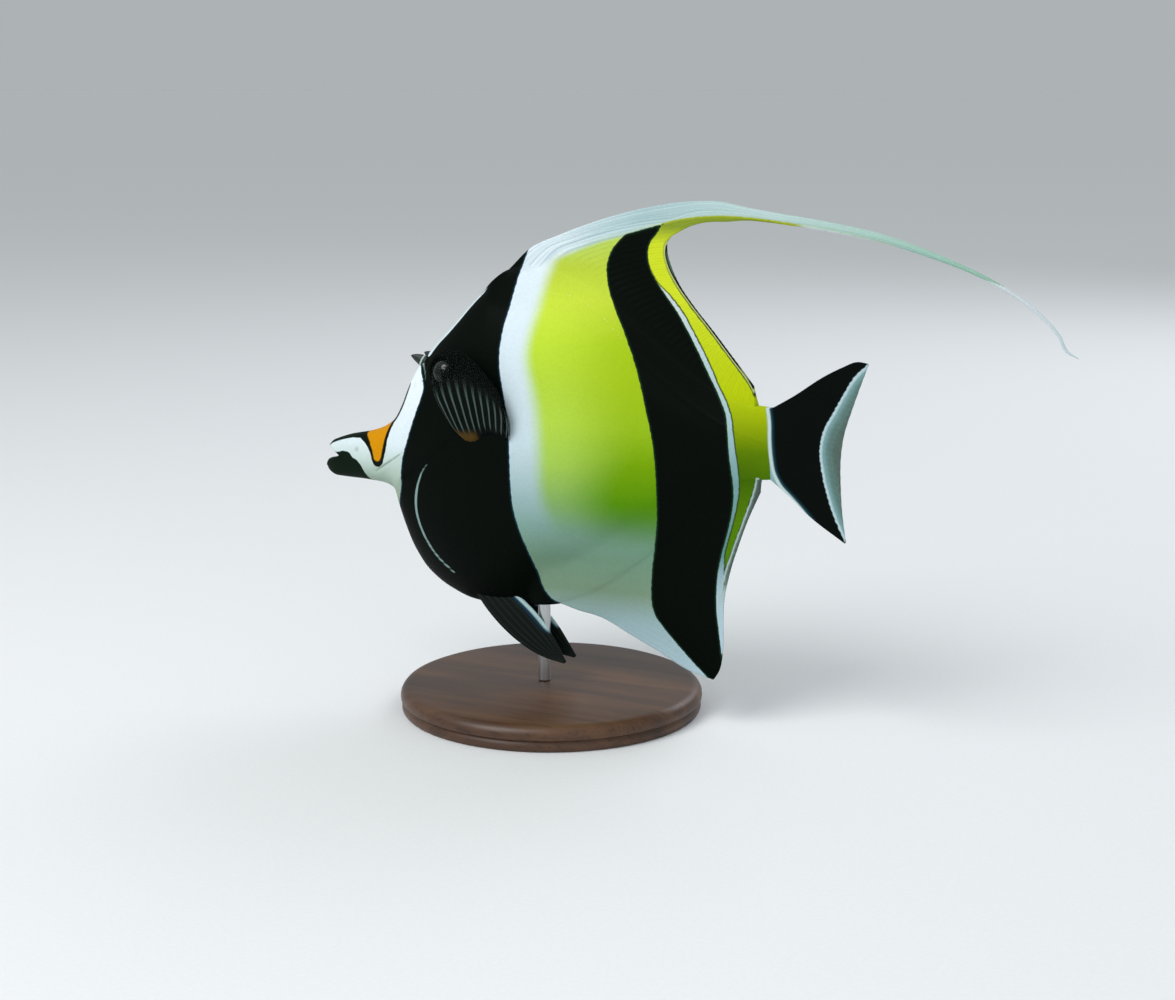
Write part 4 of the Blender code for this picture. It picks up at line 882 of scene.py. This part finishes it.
# Pattern sizes in millimetres: the scales, the grain of the painted edges, and how far an edge
# strays where it is ragged, scalloped between the rays or feathered along the crest
SCALE_SIZE, EDGE_GRAIN = 0.8, 1.43
EDGE_RAGGED, EDGE_SCALLOP, EDGE_FEATHER = 0.5, 0.07, 3.2
# Grey strands in the crest, to each ray and up the fin's length
STRANDS = (1.9, 0.9, 0.0)


def skin_finish(name, see_through):
    """Scaled fish skin, painted and varnished: fine scales, black bands, lemon flanks and pale fins, with
    painted shade darker low down and in the folds of the head.
    """
    finish, tree, shader = new_finish(name, 0.5)
    shader.inputs["Specular IOR Level"].default_value = 0.05
    straight = add(tree, "ShaderNodeAttribute", attribute_name="straight").outputs["Vector"]
    flat = add(tree, "ShaderNodeVectorMath", {0: straight, 1: (1.0, 0.0, 1.0)},
               operation="MULTIPLY").outputs[0]
    apart = add(tree, "ShaderNodeSeparateXYZ", {0: straight})

    def tones(stops, place, start, end):
        """A run of tones from one place to another."""
        share = add(tree, "ShaderNodeMapRange",
                    {"Value": place, "From Min": start, "From Max": end}).outputs[0]
        stops = [((step - start) / (end - start), code) for step, code in stops]
        return add(tree, "ShaderNodeValToRGB", {"Fac": share}, stops=stops).outputs["Color"]

    # What roughens the painted edges, all in the flat side view or along the fin rays
    grain = add(tree, "ShaderNodeTexNoise", {"Vector": flat, "Scale": 1 / EDGE_GRAIN, "Detail": 2.0})
    ragged = add(tree, "ShaderNodeMath", {0: grain.outputs["Fac"], 1: EDGE_RAGGED, 2: -EDGE_RAGGED / 2},
                 operation="MULTIPLY_ADD").outputs[0]
    ray_place = add(tree, "ShaderNodeAttribute", attribute_name="ray").outputs["Fac"]
    turns = add(tree, "ShaderNodeMath", {0: ray_place, 1: 4 * math.pi}, operation="MULTIPLY").outputs[0]
    wave = add(tree, "ShaderNodeMath", {0: turns}, operation="COSINE").outputs[0]
    scallop = add(tree, "ShaderNodeMath", {0: wave, 1: EDGE_SCALLOP, 2: ragged},
                  operation="MULTIPLY_ADD").outputs[0]
    reach_place = add(tree, "ShaderNodeAttribute", attribute_name="reach").outputs["Fac"]
    run = add(tree, "ShaderNodeCombineXYZ", {0: ray_place, 1: reach_place}).outputs[0]
    run = add(tree, "ShaderNodeVectorMath", {0: run, 1: STRANDS}, operation="MULTIPLY").outputs[0]
    strands = add(tree, "ShaderNodeTexNoise", {"Vector": run, "Scale": 1.0, "Detail": 3.0}).outputs["Fac"]
    feather = add(tree, "ShaderNodeMath", {0: strands, 1: EDGE_FEATHER, 2: -EDGE_FEATHER / 2},
                  operation="MULTIPLY_ADD").outputs[0]
    edges_of_paint = {"even": None, "ragged": ragged, "scalloped": scallop, "feathered": feather}

    # The tones that aren't one colour, darker low down partly as painted shade, and the coats of paint in
    # turn
    tone_of = {name: tones(stops, apart.outputs["Z"], LOWEST, HIGHEST) for name, stops in TONES.items()}
    # The deep lemon tone, greener towards the back and low down, is partly painted shade
    depth = add(tree, "ShaderNodeAttribute", attribute_name="deep_lemon_and_shade").outputs["Fac"]
    tone_of["flank"] = add(tree, "ShaderNodeMix",
                           {"Factor": depth, UNDER: tone_of["lemon"], OVER: tone_of["deep lemon and shade"]},
                           data_type="RGBA").outputs[MIXED]
    strand_share = add(tree, "ShaderNodeMapRange",
                       {"Value": strands, "From Min": 0.42, "From Max": 0.62, "To Max": 0.45}).outputs[0]
    crest_tone = tones(CREST_TONES, apart.outputs["X"], CREST_START, THREAD_TIP)
    tone_of["crest"] = add(tree, "ShaderNodeMix", {"Factor": strand_share, UNDER: crest_tone, OVER: "6F979E"},
                           data_type="RGBA").outputs[MIXED]
    colour = tone_of["white"]
    for field, tone, start, soft, edge, share in COATS:
        colour = coat(tree, colour, tone_of.get(tone, tone), field, start, soft, edges_of_paint[edge], share)

    # Faint streaks between the rays, a faint darker rim to each scale, and the scales' own relief
    cells = add(tree, "ShaderNodeTexVoronoi", {"Vector": flat, "Scale": 1 / SCALE_SIZE}).outputs["Distance"]
    streak = add(tree, "ShaderNodeMapRange",
                 {"Value": wave, "From Min": -1.0, "To Min": 0.95, "To Max": 1.02}).outputs[0]
    on_ray = add(tree, "ShaderNodeMapRange", {"Value": reach_place, "From Max": 0.3}).outputs[0]
    streak = add(tree, "ShaderNodeMix", {"Factor": on_ray, 2: 1.0, 3: streak}).outputs[0]
    scale_tone = add(tree, "ShaderNodeMapRange",
                     {"Value": cells, "From Max": 0.8, "To Min": 1.01, "To Max": 0.96}).outputs[0]
    tone = add(tree, "ShaderNodeMath", {0: streak, 1: scale_tone}, operation="MULTIPLY").outputs[0]
    colour = add(tree, "ShaderNodeVectorMath", {0: colour, "Scale": tone}, operation="SCALE").outputs[0]
    tree.links.new(colour, shader.inputs["Base Color"])
    bump = add(tree, "ShaderNodeBump", {"Height": cells, "Strength": 0.5, "Distance": 0.00006}, invert=True)
    tree.links.new(bump.outputs["Normal"], shader.inputs["Normal"])
    if see_through:
        clearness = add(tree, "ShaderNodeAttribute", attribute_name="clear").outputs["Fac"]
        opaque = add(tree, "ShaderNodeMath", {0: 1.0, 1: clearness}, operation="SUBTRACT").outputs[0]
        tree.links.new(opaque, shader.inputs["Alpha"])
    return finish


skin = cast_piece("moorish_idol_skin", corners, polygons, values,
                   [skin_finish("scaled fish skin", False), skin_finish("clear fin membrane", True)])
clear = values["clear"]
skin.data.polygons.foreach_set("material_index", [int(clear[list(face)].max() > 0.01) for face in polygons])
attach(skin, "root")
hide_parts("snout", "lower_jaw", "head", "gill_cover_left", "gill_cover_right", "trunk", "tail_stem",
            "dorsal_fin", "dorsal_filament_base", "dorsal_filament_tip", "anal_fin", "caudal_fin")


# Eyes
# Two glass eyes, flattened balls with a painted dark iris, each set into the socket in the skin.
EYE_RINGS, EYE_SEGMENTS, POLE_GAP = 48, 72, 0.03
SLOPE_STEP = 0.5
FIBRE_SIZE = 0.455
SIDES = ((-1, "left"), (1, "right"))


def round_angles(segments):
    """The angles of one ring of points."""
    return np.linspace(0, 2 * math.pi, segments, endpoint=False)[None, :, None]


def revolve(name, rings, finish, extra):
    """A closed smooth mesh object from rings of points, with a pole at either end."""
    rings = np.array(rings)
    count, around = rings.shape[:2]
    corners = np.concatenate((rings.reshape(-1, 3), [rings[0].mean(axis=0), rings[-1].mean(axis=0)]))
    grid = np.arange(count * around).reshape(count, around)
    grid = np.concatenate((grid, grid[:, :1]), axis=1)
    polygons = patches(grid).tolist()
    polygons += [[count * around, a, b] for a, b in zip(grid[0, :-1].tolist(), grid[0, 1:].tolist())]
    polygons += [[count * around + 1, b, a] for a, b in zip(grid[-1, :-1].tolist(), grid[-1, 1:].tolist())]
    values = {field: np.concatenate((table.ravel(), [table[0].mean(), table[-1].mean()]))
              for field, table in extra.items()}
    return cast_piece(name, corners, polygons, values, [finish])


def eye_finish():
    """Glass eye: black pupil, a thin dull gold ring, a dark fibrous iris and a clear glossy front."""
    finish, tree, shader = new_finish("painted glass eye", 0.12)
    radius = add(tree, "ShaderNodeAttribute", attribute_name="pupil_gap").outputs["Fac"]
    place = add(tree, "ShaderNodeAttribute", attribute_name="straight").outputs["Vector"]
    fibre = add(tree, "ShaderNodeTexNoise", {"Vector": place, "Scale": 1 / FIBRE_SIZE, "Detail": 4.0})
    radius = add(tree, "ShaderNodeMath", {0: fibre.outputs["Fac"], 1: 0.25, 2: radius},
                 operation="MULTIPLY_ADD").outputs[0]
    share = add(tree, "ShaderNodeMapRange", {"Value": radius, "From Max": EYE_RADIUS + 0.2}).outputs[0]
    ring = add(tree, "ShaderNodeValToRGB", {"Fac": share},
               stops=[(0.0, "010303"), (0.43, "010303"), (0.46, "3E3A20"), (0.49, "222A1E"), (0.56, "0E211E"),
                      (0.8, "0C1A17"), (0.9, "050A09")])
    tree.links.new(ring.outputs["Color"], shader.inputs["Base Color"])
    shader.inputs["Coat Weight"].default_value = 0.6
    shader.inputs["Coat Roughness"].default_value = 0.04
    return finish


glass = eye_finish()
for side, label in SIDES:
    ex, ez = EYE_CENTRE
    slope_x = (flank(ex + SLOPE_STEP, ez) - flank(ex - SLOPE_STEP, ez)) / (2 * SLOPE_STEP)
    slope_z = (flank(ex, ez + SLOPE_STEP) - flank(ex, ez - SLOPE_STEP)) / (2 * SLOPE_STEP)
    normal = Vector((-float(slope_x), side, -float(slope_z))).normalized()
    centre = Vector((ex, side * float(flank(ex, ez)), ez)) - normal * EYE_SINK
    across = normal.cross(Vector((0, 0, 1))).normalized()
    over = across.cross(normal)
    tilt = np.linspace(POLE_GAP, math.pi - POLE_GAP, EYE_RINGS)[:, None, None]
    spin = round_angles(EYE_SEGMENTS)
    ring = np.cos(spin) * np.array(across) + np.sin(spin) * np.array(over)
    rings = np.array(centre) + EYE_RADIUS * np.sin(tilt) * ring + EYE_DEPTH * np.cos(tilt) * np.array(normal)
    gap = np.where(tilt < math.pi / 2, EYE_RADIUS * np.sin(tilt), EYE_RADIUS)[..., 0]
    eye = revolve(f"glass_eye_{label}", rings, glass, {"pupil_gap": np.broadcast_to(gap, rings.shape[:2])})
    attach(eye, "root")
    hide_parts(f"eye_{label}")


# Brow horns
# The short bony horn in front of each eye, cast in resin with a faintly grooved surface.
HORN_ROOT, HORN_TIP = (39.2, 3.3, 20.3), (33.0, 4.2, 23.4)
HORN_HEIGHT, HORN_THICKNESS = 4.3, 2.5
HORN_COLLAR, HORN_COLLAR_HALF = 2.7, 0.35
HORN_TAPER = [(0.0, 1.0), (0.2, 0.98), (0.4, 0.9), (0.6, 0.72), (0.8, 0.46), (0.92, 0.26), (1.0, 0.07)]
HORN_RINGS, HORN_SEGMENTS, HORN_GROOVES = 30, 60, 10
HORN_GROOVE_SHARE, HORN_BOW = 0.02, 0.35
HORN_STREAK = (1.786, 0.3125, 0.3125)


def per_size(sizes, unit=1.0):
    """How often a pattern repeats in a unit, for its size each way in millimetres."""
    return tuple(unit / size for size in sizes)


def horn_finish():
    """Dark horn: green-black with paler streaks along it, a white collar at its root, a dull polish."""
    finish, tree, shader = new_finish("grooved dark horn", 0.5)
    place = add(tree, "ShaderNodeAttribute", attribute_name="straight").outputs["Vector"]
    drawn = add(tree, "ShaderNodeVectorMath", {0: place, 1: per_size(HORN_STREAK)},
                operation="MULTIPLY").outputs[0]
    streak = add(tree, "ShaderNodeTexNoise", {"Vector": drawn, "Scale": 1.0, "Detail": 3.0}).outputs["Fac"]
    tone = add(tree, "ShaderNodeValToRGB", {"Fac": streak}, stops=[(0.3, "0C120C"), (0.7, "1C2A26")])
    colour = coat(tree, tone.outputs["Color"], "BCD2CE", "collar", 0.15, 0.2)
    tree.links.new(colour, shader.inputs["Base Color"])
    return finish


dark_horn = horn_finish()
for side, label in SIDES:
    start, end = (np.array(p) * (1, side, 1) for p in (HORN_ROOT, HORN_TIP))
    share = np.linspace(0, 1, HORN_RINGS)
    spin = round_angles(HORN_SEGMENTS)
    length = np.linalg.norm(end - start)
    outwards = np.array([0.0, 1.0, 0.0])
    upwards = np.cross((end - start) / length, outwards)
    grooved = 1 + HORN_GROOVE_SHARE * np.cos(HORN_GROOVES * spin)
    girth = profile(HORN_TAPER)(share)[:, None, None] / 2 * grooved
    bowed = HORN_BOW * np.sin(math.pi * share)[:, None] * np.array([0.0, 0.0, 1.0])
    middle = (start + (end - start) * share[:, None] + bowed)[:, None]
    rings = middle + girth * (HORN_HEIGHT * np.cos(spin) * upwards + HORN_THICKNESS * np.sin(spin) * outwards)
    collar = HORN_COLLAR_HALF - np.abs(share * length - HORN_COLLAR)
    horn = revolve(f"brow_horn_{label}", rings, dark_horn,
                   {"collar": np.broadcast_to(collar[:, None], rings.shape[:2])})
    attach(horn, "root")
    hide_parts(f"horn_{label}")


# Pectoral fins
# The fan behind each gill cover: a smoky clear membrane cast over fine forked rays. It follows
# the flank, and stands a little further out of it towards its outer edge.
PECTORAL_ROOT = [(54.4, 0.2), (56.8, -1.5), (59.8, -1.4), (62.5, 0.2), (65.0, 1.3), (68.2, 1.0), (71.6, -0.4)]
PECTORAL_FRONT = [(54.4, 0.2), (51.4, 3.9), (48.9, 7.8), (46.6, 11.9), (45.4, 16.1), (44.9, 21.3)]
PECTORAL_EDGE = [(44.9, 21.3), (46.7, 25.0), (50.4, 27.4), (55.4, 27.2), (60.4, 24.8), (64.7, 21.4),
                 (68.5, 17.4), (71.0, 13.6), (72.5, 10.8)]
PECTORAL_REAR = [(71.6, -0.4), (73.2, 5.0), (72.5, 10.8)]
PECTORAL_LIFT, PECTORAL_FLARE, PECTORAL_CUP = (-2.2, 4.0), 0.4, 0.8
PECTORAL_HALF = (1.06, 0.16)
PECTORAL_RAYS, PECTORAL_COLUMNS, PECTORAL_ROWS = 11, 176, 72
RAY_FORK, RAY_RIDGE = 0.2, 0.16


def blade(name, edges_of, side_place, thickness, size, fields_of, finish):
    """A thin fin of two faces and a rounded rim, with forked rays raised in both faces."""
    rays, columns, rows = size
    u, v = np.linspace(0, 1, columns + 1), np.linspace(0, 1, rows + 1)
    sheet = stretched(*(outline(points, t) for points, t in zip(edges_of, (u, u, v, v))), u, v)
    u, v = np.broadcast_arrays(u[:, None], v[None])
    across_ray = np.abs((u * rays) % 1.0 - 0.5)
    ridge = rise(across_ray, RAY_FORK * smooth(v, 0.35, 0.95), 0.13 - 0.05 * v)
    edge_gap = np.minimum(np.minimum(u, 1 - u) * columns, (1 - v) * rows)
    rounding = np.sqrt(np.clip((edge_gap + 0.6) / 2.6, 0, 1))
    thick = (thickness(u, v) + RAY_RIDGE * ridge * (1 - 0.6 * v)) * rounding
    middle = side_place(u, v, sheet[..., 0], sheet[..., 1])
    faces_of = [np.stack([sheet[..., 0], middle + turn * thick, sheet[..., 1]], axis=-1) for turn in (-1, 1)]
    corners = np.concatenate([face.reshape(-1, 3) for face in faces_of])
    grid = np.arange(thick.size).reshape(thick.shape)
    faces = patches(grid)
    ring = np.concatenate((grid[:-1, 0], grid[-1, :-1], grid[:0:-1, -1], grid[0, :0:-1]))
    wall = np.stack([ring, np.roll(ring, -1), np.roll(ring, -1) + thick.size, ring + thick.size], -1)
    polygons = np.concatenate((faces, (faces + thick.size)[:, ::-1], wall)).tolist()
    values = {field: np.tile(table.ravel(), 2) for field, table in fields_of(u, v, ridge).items()}
    return cast_piece(name, corners, polygons, values, [finish])


def pectoral_fields(u, v, ridge):
    """Where the rays show, where the root is ochre and how much of the light the membrane stops."""
    front_ray = 1 - smooth(u, 0.0, 0.025)
    shine = ridge * smooth(v, 0.03, 0.2) * (1 - smooth(v, 0.4, 0.85)) + 0.35 * front_ray
    root = (1 - smooth(v, 0.05, 0.19)) * (1 - smooth(u, 0.3, 0.5))
    over_eye = smooth(v, 0.6, 0.85) * (1 - smooth(u, 0.2, 0.4))
    cover = (0.98 - 0.3 * smooth(v, 0.55, 1.0)) * (1 - 0.6 * smooth(u, 0.86, 0.98)) * (1 - 0.6 * over_eye)
    rays = 0.9 * np.minimum(1.6 * ridge, 1.0) * (1 - 0.5 * smooth(v, 0.7, 1.0)) * (1 - 0.8 * over_eye)
    return {"shine": shine, "root": root, "cover": np.maximum.reduce([cover, root, rays, 0.5 * front_ray])}


def pectoral_finish():
    """Clear fin membrane, smoky between the dim grey rays and ochre at its root."""
    finish, tree, shader = new_finish("smoky fin membrane", 0.45)
    shader.inputs["Specular IOR Level"].default_value = 0.05
    colour = coat(tree, "030907", "4C5E57", "shine", 0.5, 0.5)
    colour = coat(tree, colour, "4E3A16", "root", 0.5, 0.5)
    tree.links.new(colour, shader.inputs["Base Color"])
    cover = add(tree, "ShaderNodeAttribute", attribute_name="cover").outputs["Fac"]
    tree.links.new(cover, shader.inputs["Alpha"])
    return finish


def beside_flank(side):
    """How far to the side the fan stands: out of the flank, and further out towards its edge."""
    root, edge = PECTORAL_LIFT
    return lambda u, v, x, z: side * (flank(x, z) + root + (edge - root) * v ** PECTORAL_FLARE
                                      + PECTORAL_CUP * np.sin(math.pi * u) * v)


smoky = pectoral_finish()
for side, label in SIDES:
    pectoral = blade(f"pectoral_fan_{label}", (PECTORAL_ROOT, PECTORAL_EDGE, PECTORAL_FRONT, PECTORAL_REAR),
                     beside_flank(side), thinning(PECTORAL_HALF, lambda v: (1 - v) ** 4),
                     (PECTORAL_RAYS, PECTORAL_COLUMNS, PECTORAL_ROWS), pectoral_fields, smoky)
    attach(pectoral, "root")
    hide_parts(f"pectoral_fin_{label}")


# Pelvic fins
# The two pointed black fins under the breast, cast with their soft rays showing.
PELVIC_FRONT = [(53.5, -50.6), (59.5, -58.0), (69.0, -65.8), (78.5, -70.2), (86.2, -71.5)]
PELVIC_REAR = [(68.5, -50.4), (75.5, -55.8), (80.2, -60.6), (83.8, -65.8), (87.0, -70.9)]
PELVIC_SPREAD, PELVIC_FLARE = (2.6, 3.7), 1.1
PELVIC_HALF = (0.8, 0.3)
PELVIC_RAYS, PELVIC_COLUMNS, PELVIC_ROWS = 6, 72, 110


def pelvic_fields(u, v, ridge):
    """The rays, and the pale streak down the upper part of the rear edge, blue on its inner side."""
    length = 1 - smooth(v, 0.5, 0.68)
    return {"ridge": ridge, "streak": (u - 0.87) / 0.13 * length, "blue": (u - 0.76) / 0.24 * length}


def pelvic_finish():
    """Black fin skin with a green sheen on its rays and a pale streak along the rear ray."""
    finish, tree, shader = new_finish("black fin skin", 0.55)
    shader.inputs["Specular IOR Level"].default_value = 0.15
    colour = coat(tree, "040B08", "101F18", "ridge", 0.5, 0.4)
    colour = coat(tree, colour, "10344A", "blue", 0.3, 0.25)
    colour = coat(tree, colour, "A9C6C6", "streak", 0.4, 0.3)
    tree.links.new(colour, shader.inputs["Base Color"])
    return finish


def beside_belly(side):
    """How far to the side the pair stands, further apart towards the points."""
    root, point = PELVIC_SPREAD
    return lambda u, v, x, z: side * (root + (point - root) * v ** PELVIC_FLARE)


black_fin = pelvic_finish()
for side, label in SIDES:
    root = [PELVIC_FRONT[0], PELVIC_REAR[0]]
    tip = [PELVIC_FRONT[-1], PELVIC_REAR[-1]]
    pelvic = blade(f"pelvic_point_{label}", (root, tip, PELVIC_FRONT, PELVIC_REAR), beside_belly(side),
                   thinning(PELVIC_HALF, lambda v: (1 - v) ** 2),
                   (PELVIC_RAYS, PELVIC_COLUMNS, PELVIC_ROWS), pelvic_fields, black_fin)
    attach(pelvic, "root")
    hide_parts(f"pelvic_fin_{label}")


# Display stand
# A round base turned in dark walnut that stands on the floor, and the brushed steel rod that is set
# in its top and enters the fish's belly. Each is turned from a profile of radii and heights.
BASE_TOP, BASE_THICKNESS, BASE_MIDDLE = -79.0, 8.0, 80.0
BASE_PROFILE = [(0.0, 0.0), (46.4, 0.0), (47.2, 0.25), (47.6, 0.9), (47.6, 2.2), (47.2, 2.7), (47.0, 3.2),
                (47.25, 3.6), (47.9, 3.9), (48.0, 4.6), (47.9, 5.6), (47.4, 6.6), (46.7, 7.4),
                (45.6, 7.85), (44.4, 8.0), (30.0, 8.0), (0.0, 8.0)]
ROD_PLACE, ROD_RADIUS, ROD_TOP = 77.5, 2.0, 4.0
ROD_FOOT, ROD_BEVEL = 0.3, 0.1
BASE_SEGMENTS, ROD_SEGMENTS = 192, 64
MERGE_GAP = 0.000001
SHARP_ANGLE = math.radians(40)
WALNUT_GRAIN, WALNUT_PORES = (111.0, 11.1, 16.7), (16.7, 0.667, 1.11)
BRUSHING = (3.33, 3.33, 0.111)
METRE = 1000.0


def walnut_finish():
    """Dark walnut, turned, oiled and waxed: long grain with fine open pores."""
    finish, tree, shader = new_finish("oiled dark walnut", 0.42)
    place = add(tree, "ShaderNodeTexCoord").outputs["Object"]
    drawn, fine = (add(tree, "ShaderNodeVectorMath", {0: place, 1: per_size(sizes, METRE)},
                       operation="MULTIPLY").outputs[0] for sizes in (WALNUT_GRAIN, WALNUT_PORES))
    waves = add(tree, "ShaderNodeTexNoise", {"Vector": drawn, "Scale": 1.0, "Detail": 4.0, "Distortion": 0.6})
    pores = add(tree, "ShaderNodeTexNoise", {"Vector": fine, "Scale": 1.0, "Detail": 2.0}).outputs["Fac"]
    grain = add(tree, "ShaderNodeValToRGB", {"Fac": waves.outputs["Fac"]},
                stops=[(0.3, "2E1C11"), (0.5, "4A2F1C"), (0.72, "644429")])
    dark = add(tree, "ShaderNodeMapRange",
               {"Value": pores, "From Min": 0.55, "From Max": 0.72, "To Max": 0.6}).outputs[0]
    colour = add(tree, "ShaderNodeMix", {"Factor": dark, UNDER: grain.outputs["Color"], OVER: "1C100A"},
                 data_type="RGBA").outputs[MIXED]
    tree.links.new(colour, shader.inputs["Base Color"])
    bump = add(tree, "ShaderNodeBump", {"Height": pores, "Strength": 0.15, "Distance": 0.0001}, invert=True)
    tree.links.new(bump.outputs["Normal"], shader.inputs["Normal"])
    return finish


def steel_finish():
    """Brushed stainless steel: fine turning lines round the rod."""
    finish, tree, shader = new_finish("brushed stainless steel", 0.3)
    shader.inputs["Metallic"].default_value = 1.0
    shader.inputs["Base Color"].default_value = linear("C4C6C7")
    place = add(tree, "ShaderNodeTexCoord").outputs["Object"]
    drawn = add(tree, "ShaderNodeVectorMath", {0: place, 1: per_size(BRUSHING, METRE)},
                operation="MULTIPLY").outputs[0]
    lines = add(tree, "ShaderNodeTexNoise", {"Vector": drawn, "Scale": 1.0, "Detail": 2.0}).outputs["Fac"]
    rough = add(tree, "ShaderNodeMapRange", {"Value": lines, "To Min": 0.22, "To Max": 0.42}).outputs[0]
    tree.links.new(rough, shader.inputs["Roughness"])
    return finish


def turning_tree():
    """Geometry nodes that turn a profile: each row of a grid one turn wide goes round at its radius."""
    tree = bpy.data.node_groups.new("turned round", "GeometryNodeTree")
    for name, kind, way in (("Profile", "Geometry", "INPUT"), ("Segments", "Int", "INPUT"),
                            ("Middle", "Vector", "INPUT"), ("Finish", "Material", "INPUT"),
                            ("Turned", "Geometry", "OUTPUT")):
        tree.interface.new_socket(name, in_out=way, socket_type="NodeSocket" + kind)
    given = add(tree, "NodeGroupInput").outputs
    rows = add(tree, "GeometryNodeAttributeDomainSize", {0: given["Profile"]}).outputs["Point Count"]
    last_row = add(tree, "ShaderNodeMath", {0: rows, 1: 1.0}, operation="SUBTRACT").outputs[0]
    columns = add(tree, "ShaderNodeMath", {0: given["Segments"], 1: 1.0}).outputs[0]
    grid = add(tree, "GeometryNodeMeshGrid", {"Size X": 2 * math.pi, "Size Y": last_row,
                                              "Vertices X": columns, "Vertices Y": rows}).outputs["Mesh"]
    position = add(tree, "GeometryNodeInputPosition").outputs[0]
    apart = add(tree, "ShaderNodeSeparateXYZ", {0: position}).outputs
    row = add(tree, "ShaderNodeMath", {0: last_row, 1: 0.5, 2: apart["Y"]},
              operation="MULTIPLY_ADD").outputs[0]
    row = add(tree, "ShaderNodeMath", {0: row}, operation="ROUND").outputs[0]
    place = add(tree, "GeometryNodeSampleIndex", {0: given["Profile"], 1: position, "Index": row},
                data_type="FLOAT_VECTOR").outputs[0]
    place = add(tree, "ShaderNodeVectorRotate", {"Vector": place, "Angle": apart["X"]},
                rotation_type="Z_AXIS").outputs[0]
    place = add(tree, "ShaderNodeVectorMath", {0: place, 1: given["Middle"]}).outputs[0]
    turned = add(tree, "GeometryNodeSetPosition", {"Geometry": grid, "Position": place}).outputs[0]
    for kind, settings in (("GeometryNodeMergeByDistance", {"Distance": MERGE_GAP}),
                           ("GeometryNodeSetShadeSmooth", {}), ("GeometryNodeRealizeInstances", {}),
                           ("GeometryNodeSetMaterial", {"Material": given["Finish"]})):
        turned = add(tree, kind, {"Geometry": turned, **settings}).outputs[0]
    add(tree, "NodeGroupOutput", {"Turned": turned})
    return tree


def turn(name, tree, middle, points, segments, finish):
    """A piece turned from its profile about an upright axis, as a plain mesh."""
    mesh = bpy.data.meshes.new(name)
    mesh.from_pydata([Vector((radius, 0.0, height)) * MM for radius, height in points],
                     [(i, i + 1) for i in range(len(points) - 1)], [])
    item = bpy.data.objects.new(name, mesh)
    bpy.context.scene.collection.objects.link(item)
    lathe = item.modifiers.new("lathe", "NODES")
    lathe.node_group = tree
    centre = (Vector((middle, 0.0, 0.0)) + FISH_TO_FRAME) * MM
    given = {"Segments": segments, "Middle": centre, "Finish": finish}
    for socket in tree.interface.items_tree:
        if socket.name in given:
            lathe[socket.identifier] = given[socket.name]
    item.data = bpy.data.meshes.new_from_object(item.evaluated_get(bpy.context.evaluated_depsgraph_get()))
    item.modifiers.clear()
    item.data.set_sharp_from_angle(angle=SHARP_ANGLE)
    return item


turning = turning_tree()
base = turn("stand_base_turned", turning, BASE_MIDDLE,
            [(radius, BASE_TOP - BASE_THICKNESS + height) for radius, height in BASE_PROFILE],
            BASE_SEGMENTS, walnut_finish())
rod_foot, rod_end = BASE_TOP + ROD_FOOT, float(low_edge(ROD_PLACE)) + ROD_TOP
rod = turn("stand_rod_brushed", turning, ROD_PLACE,
           [(0.0, rod_foot), (ROD_RADIUS - ROD_BEVEL, rod_foot), (ROD_RADIUS, rod_foot + ROD_BEVEL),
            (ROD_RADIUS, rod_end), (0.0, rod_end)], ROD_SEGMENTS, steel_finish())
for piece, node, slot in ((base, "stand_base", "stand_base"), (rod, "stand_rod", "stand_rod")):
    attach(piece, "root")
    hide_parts(node)


[[list(corner) for corner in box] for box in (cad_box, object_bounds())]
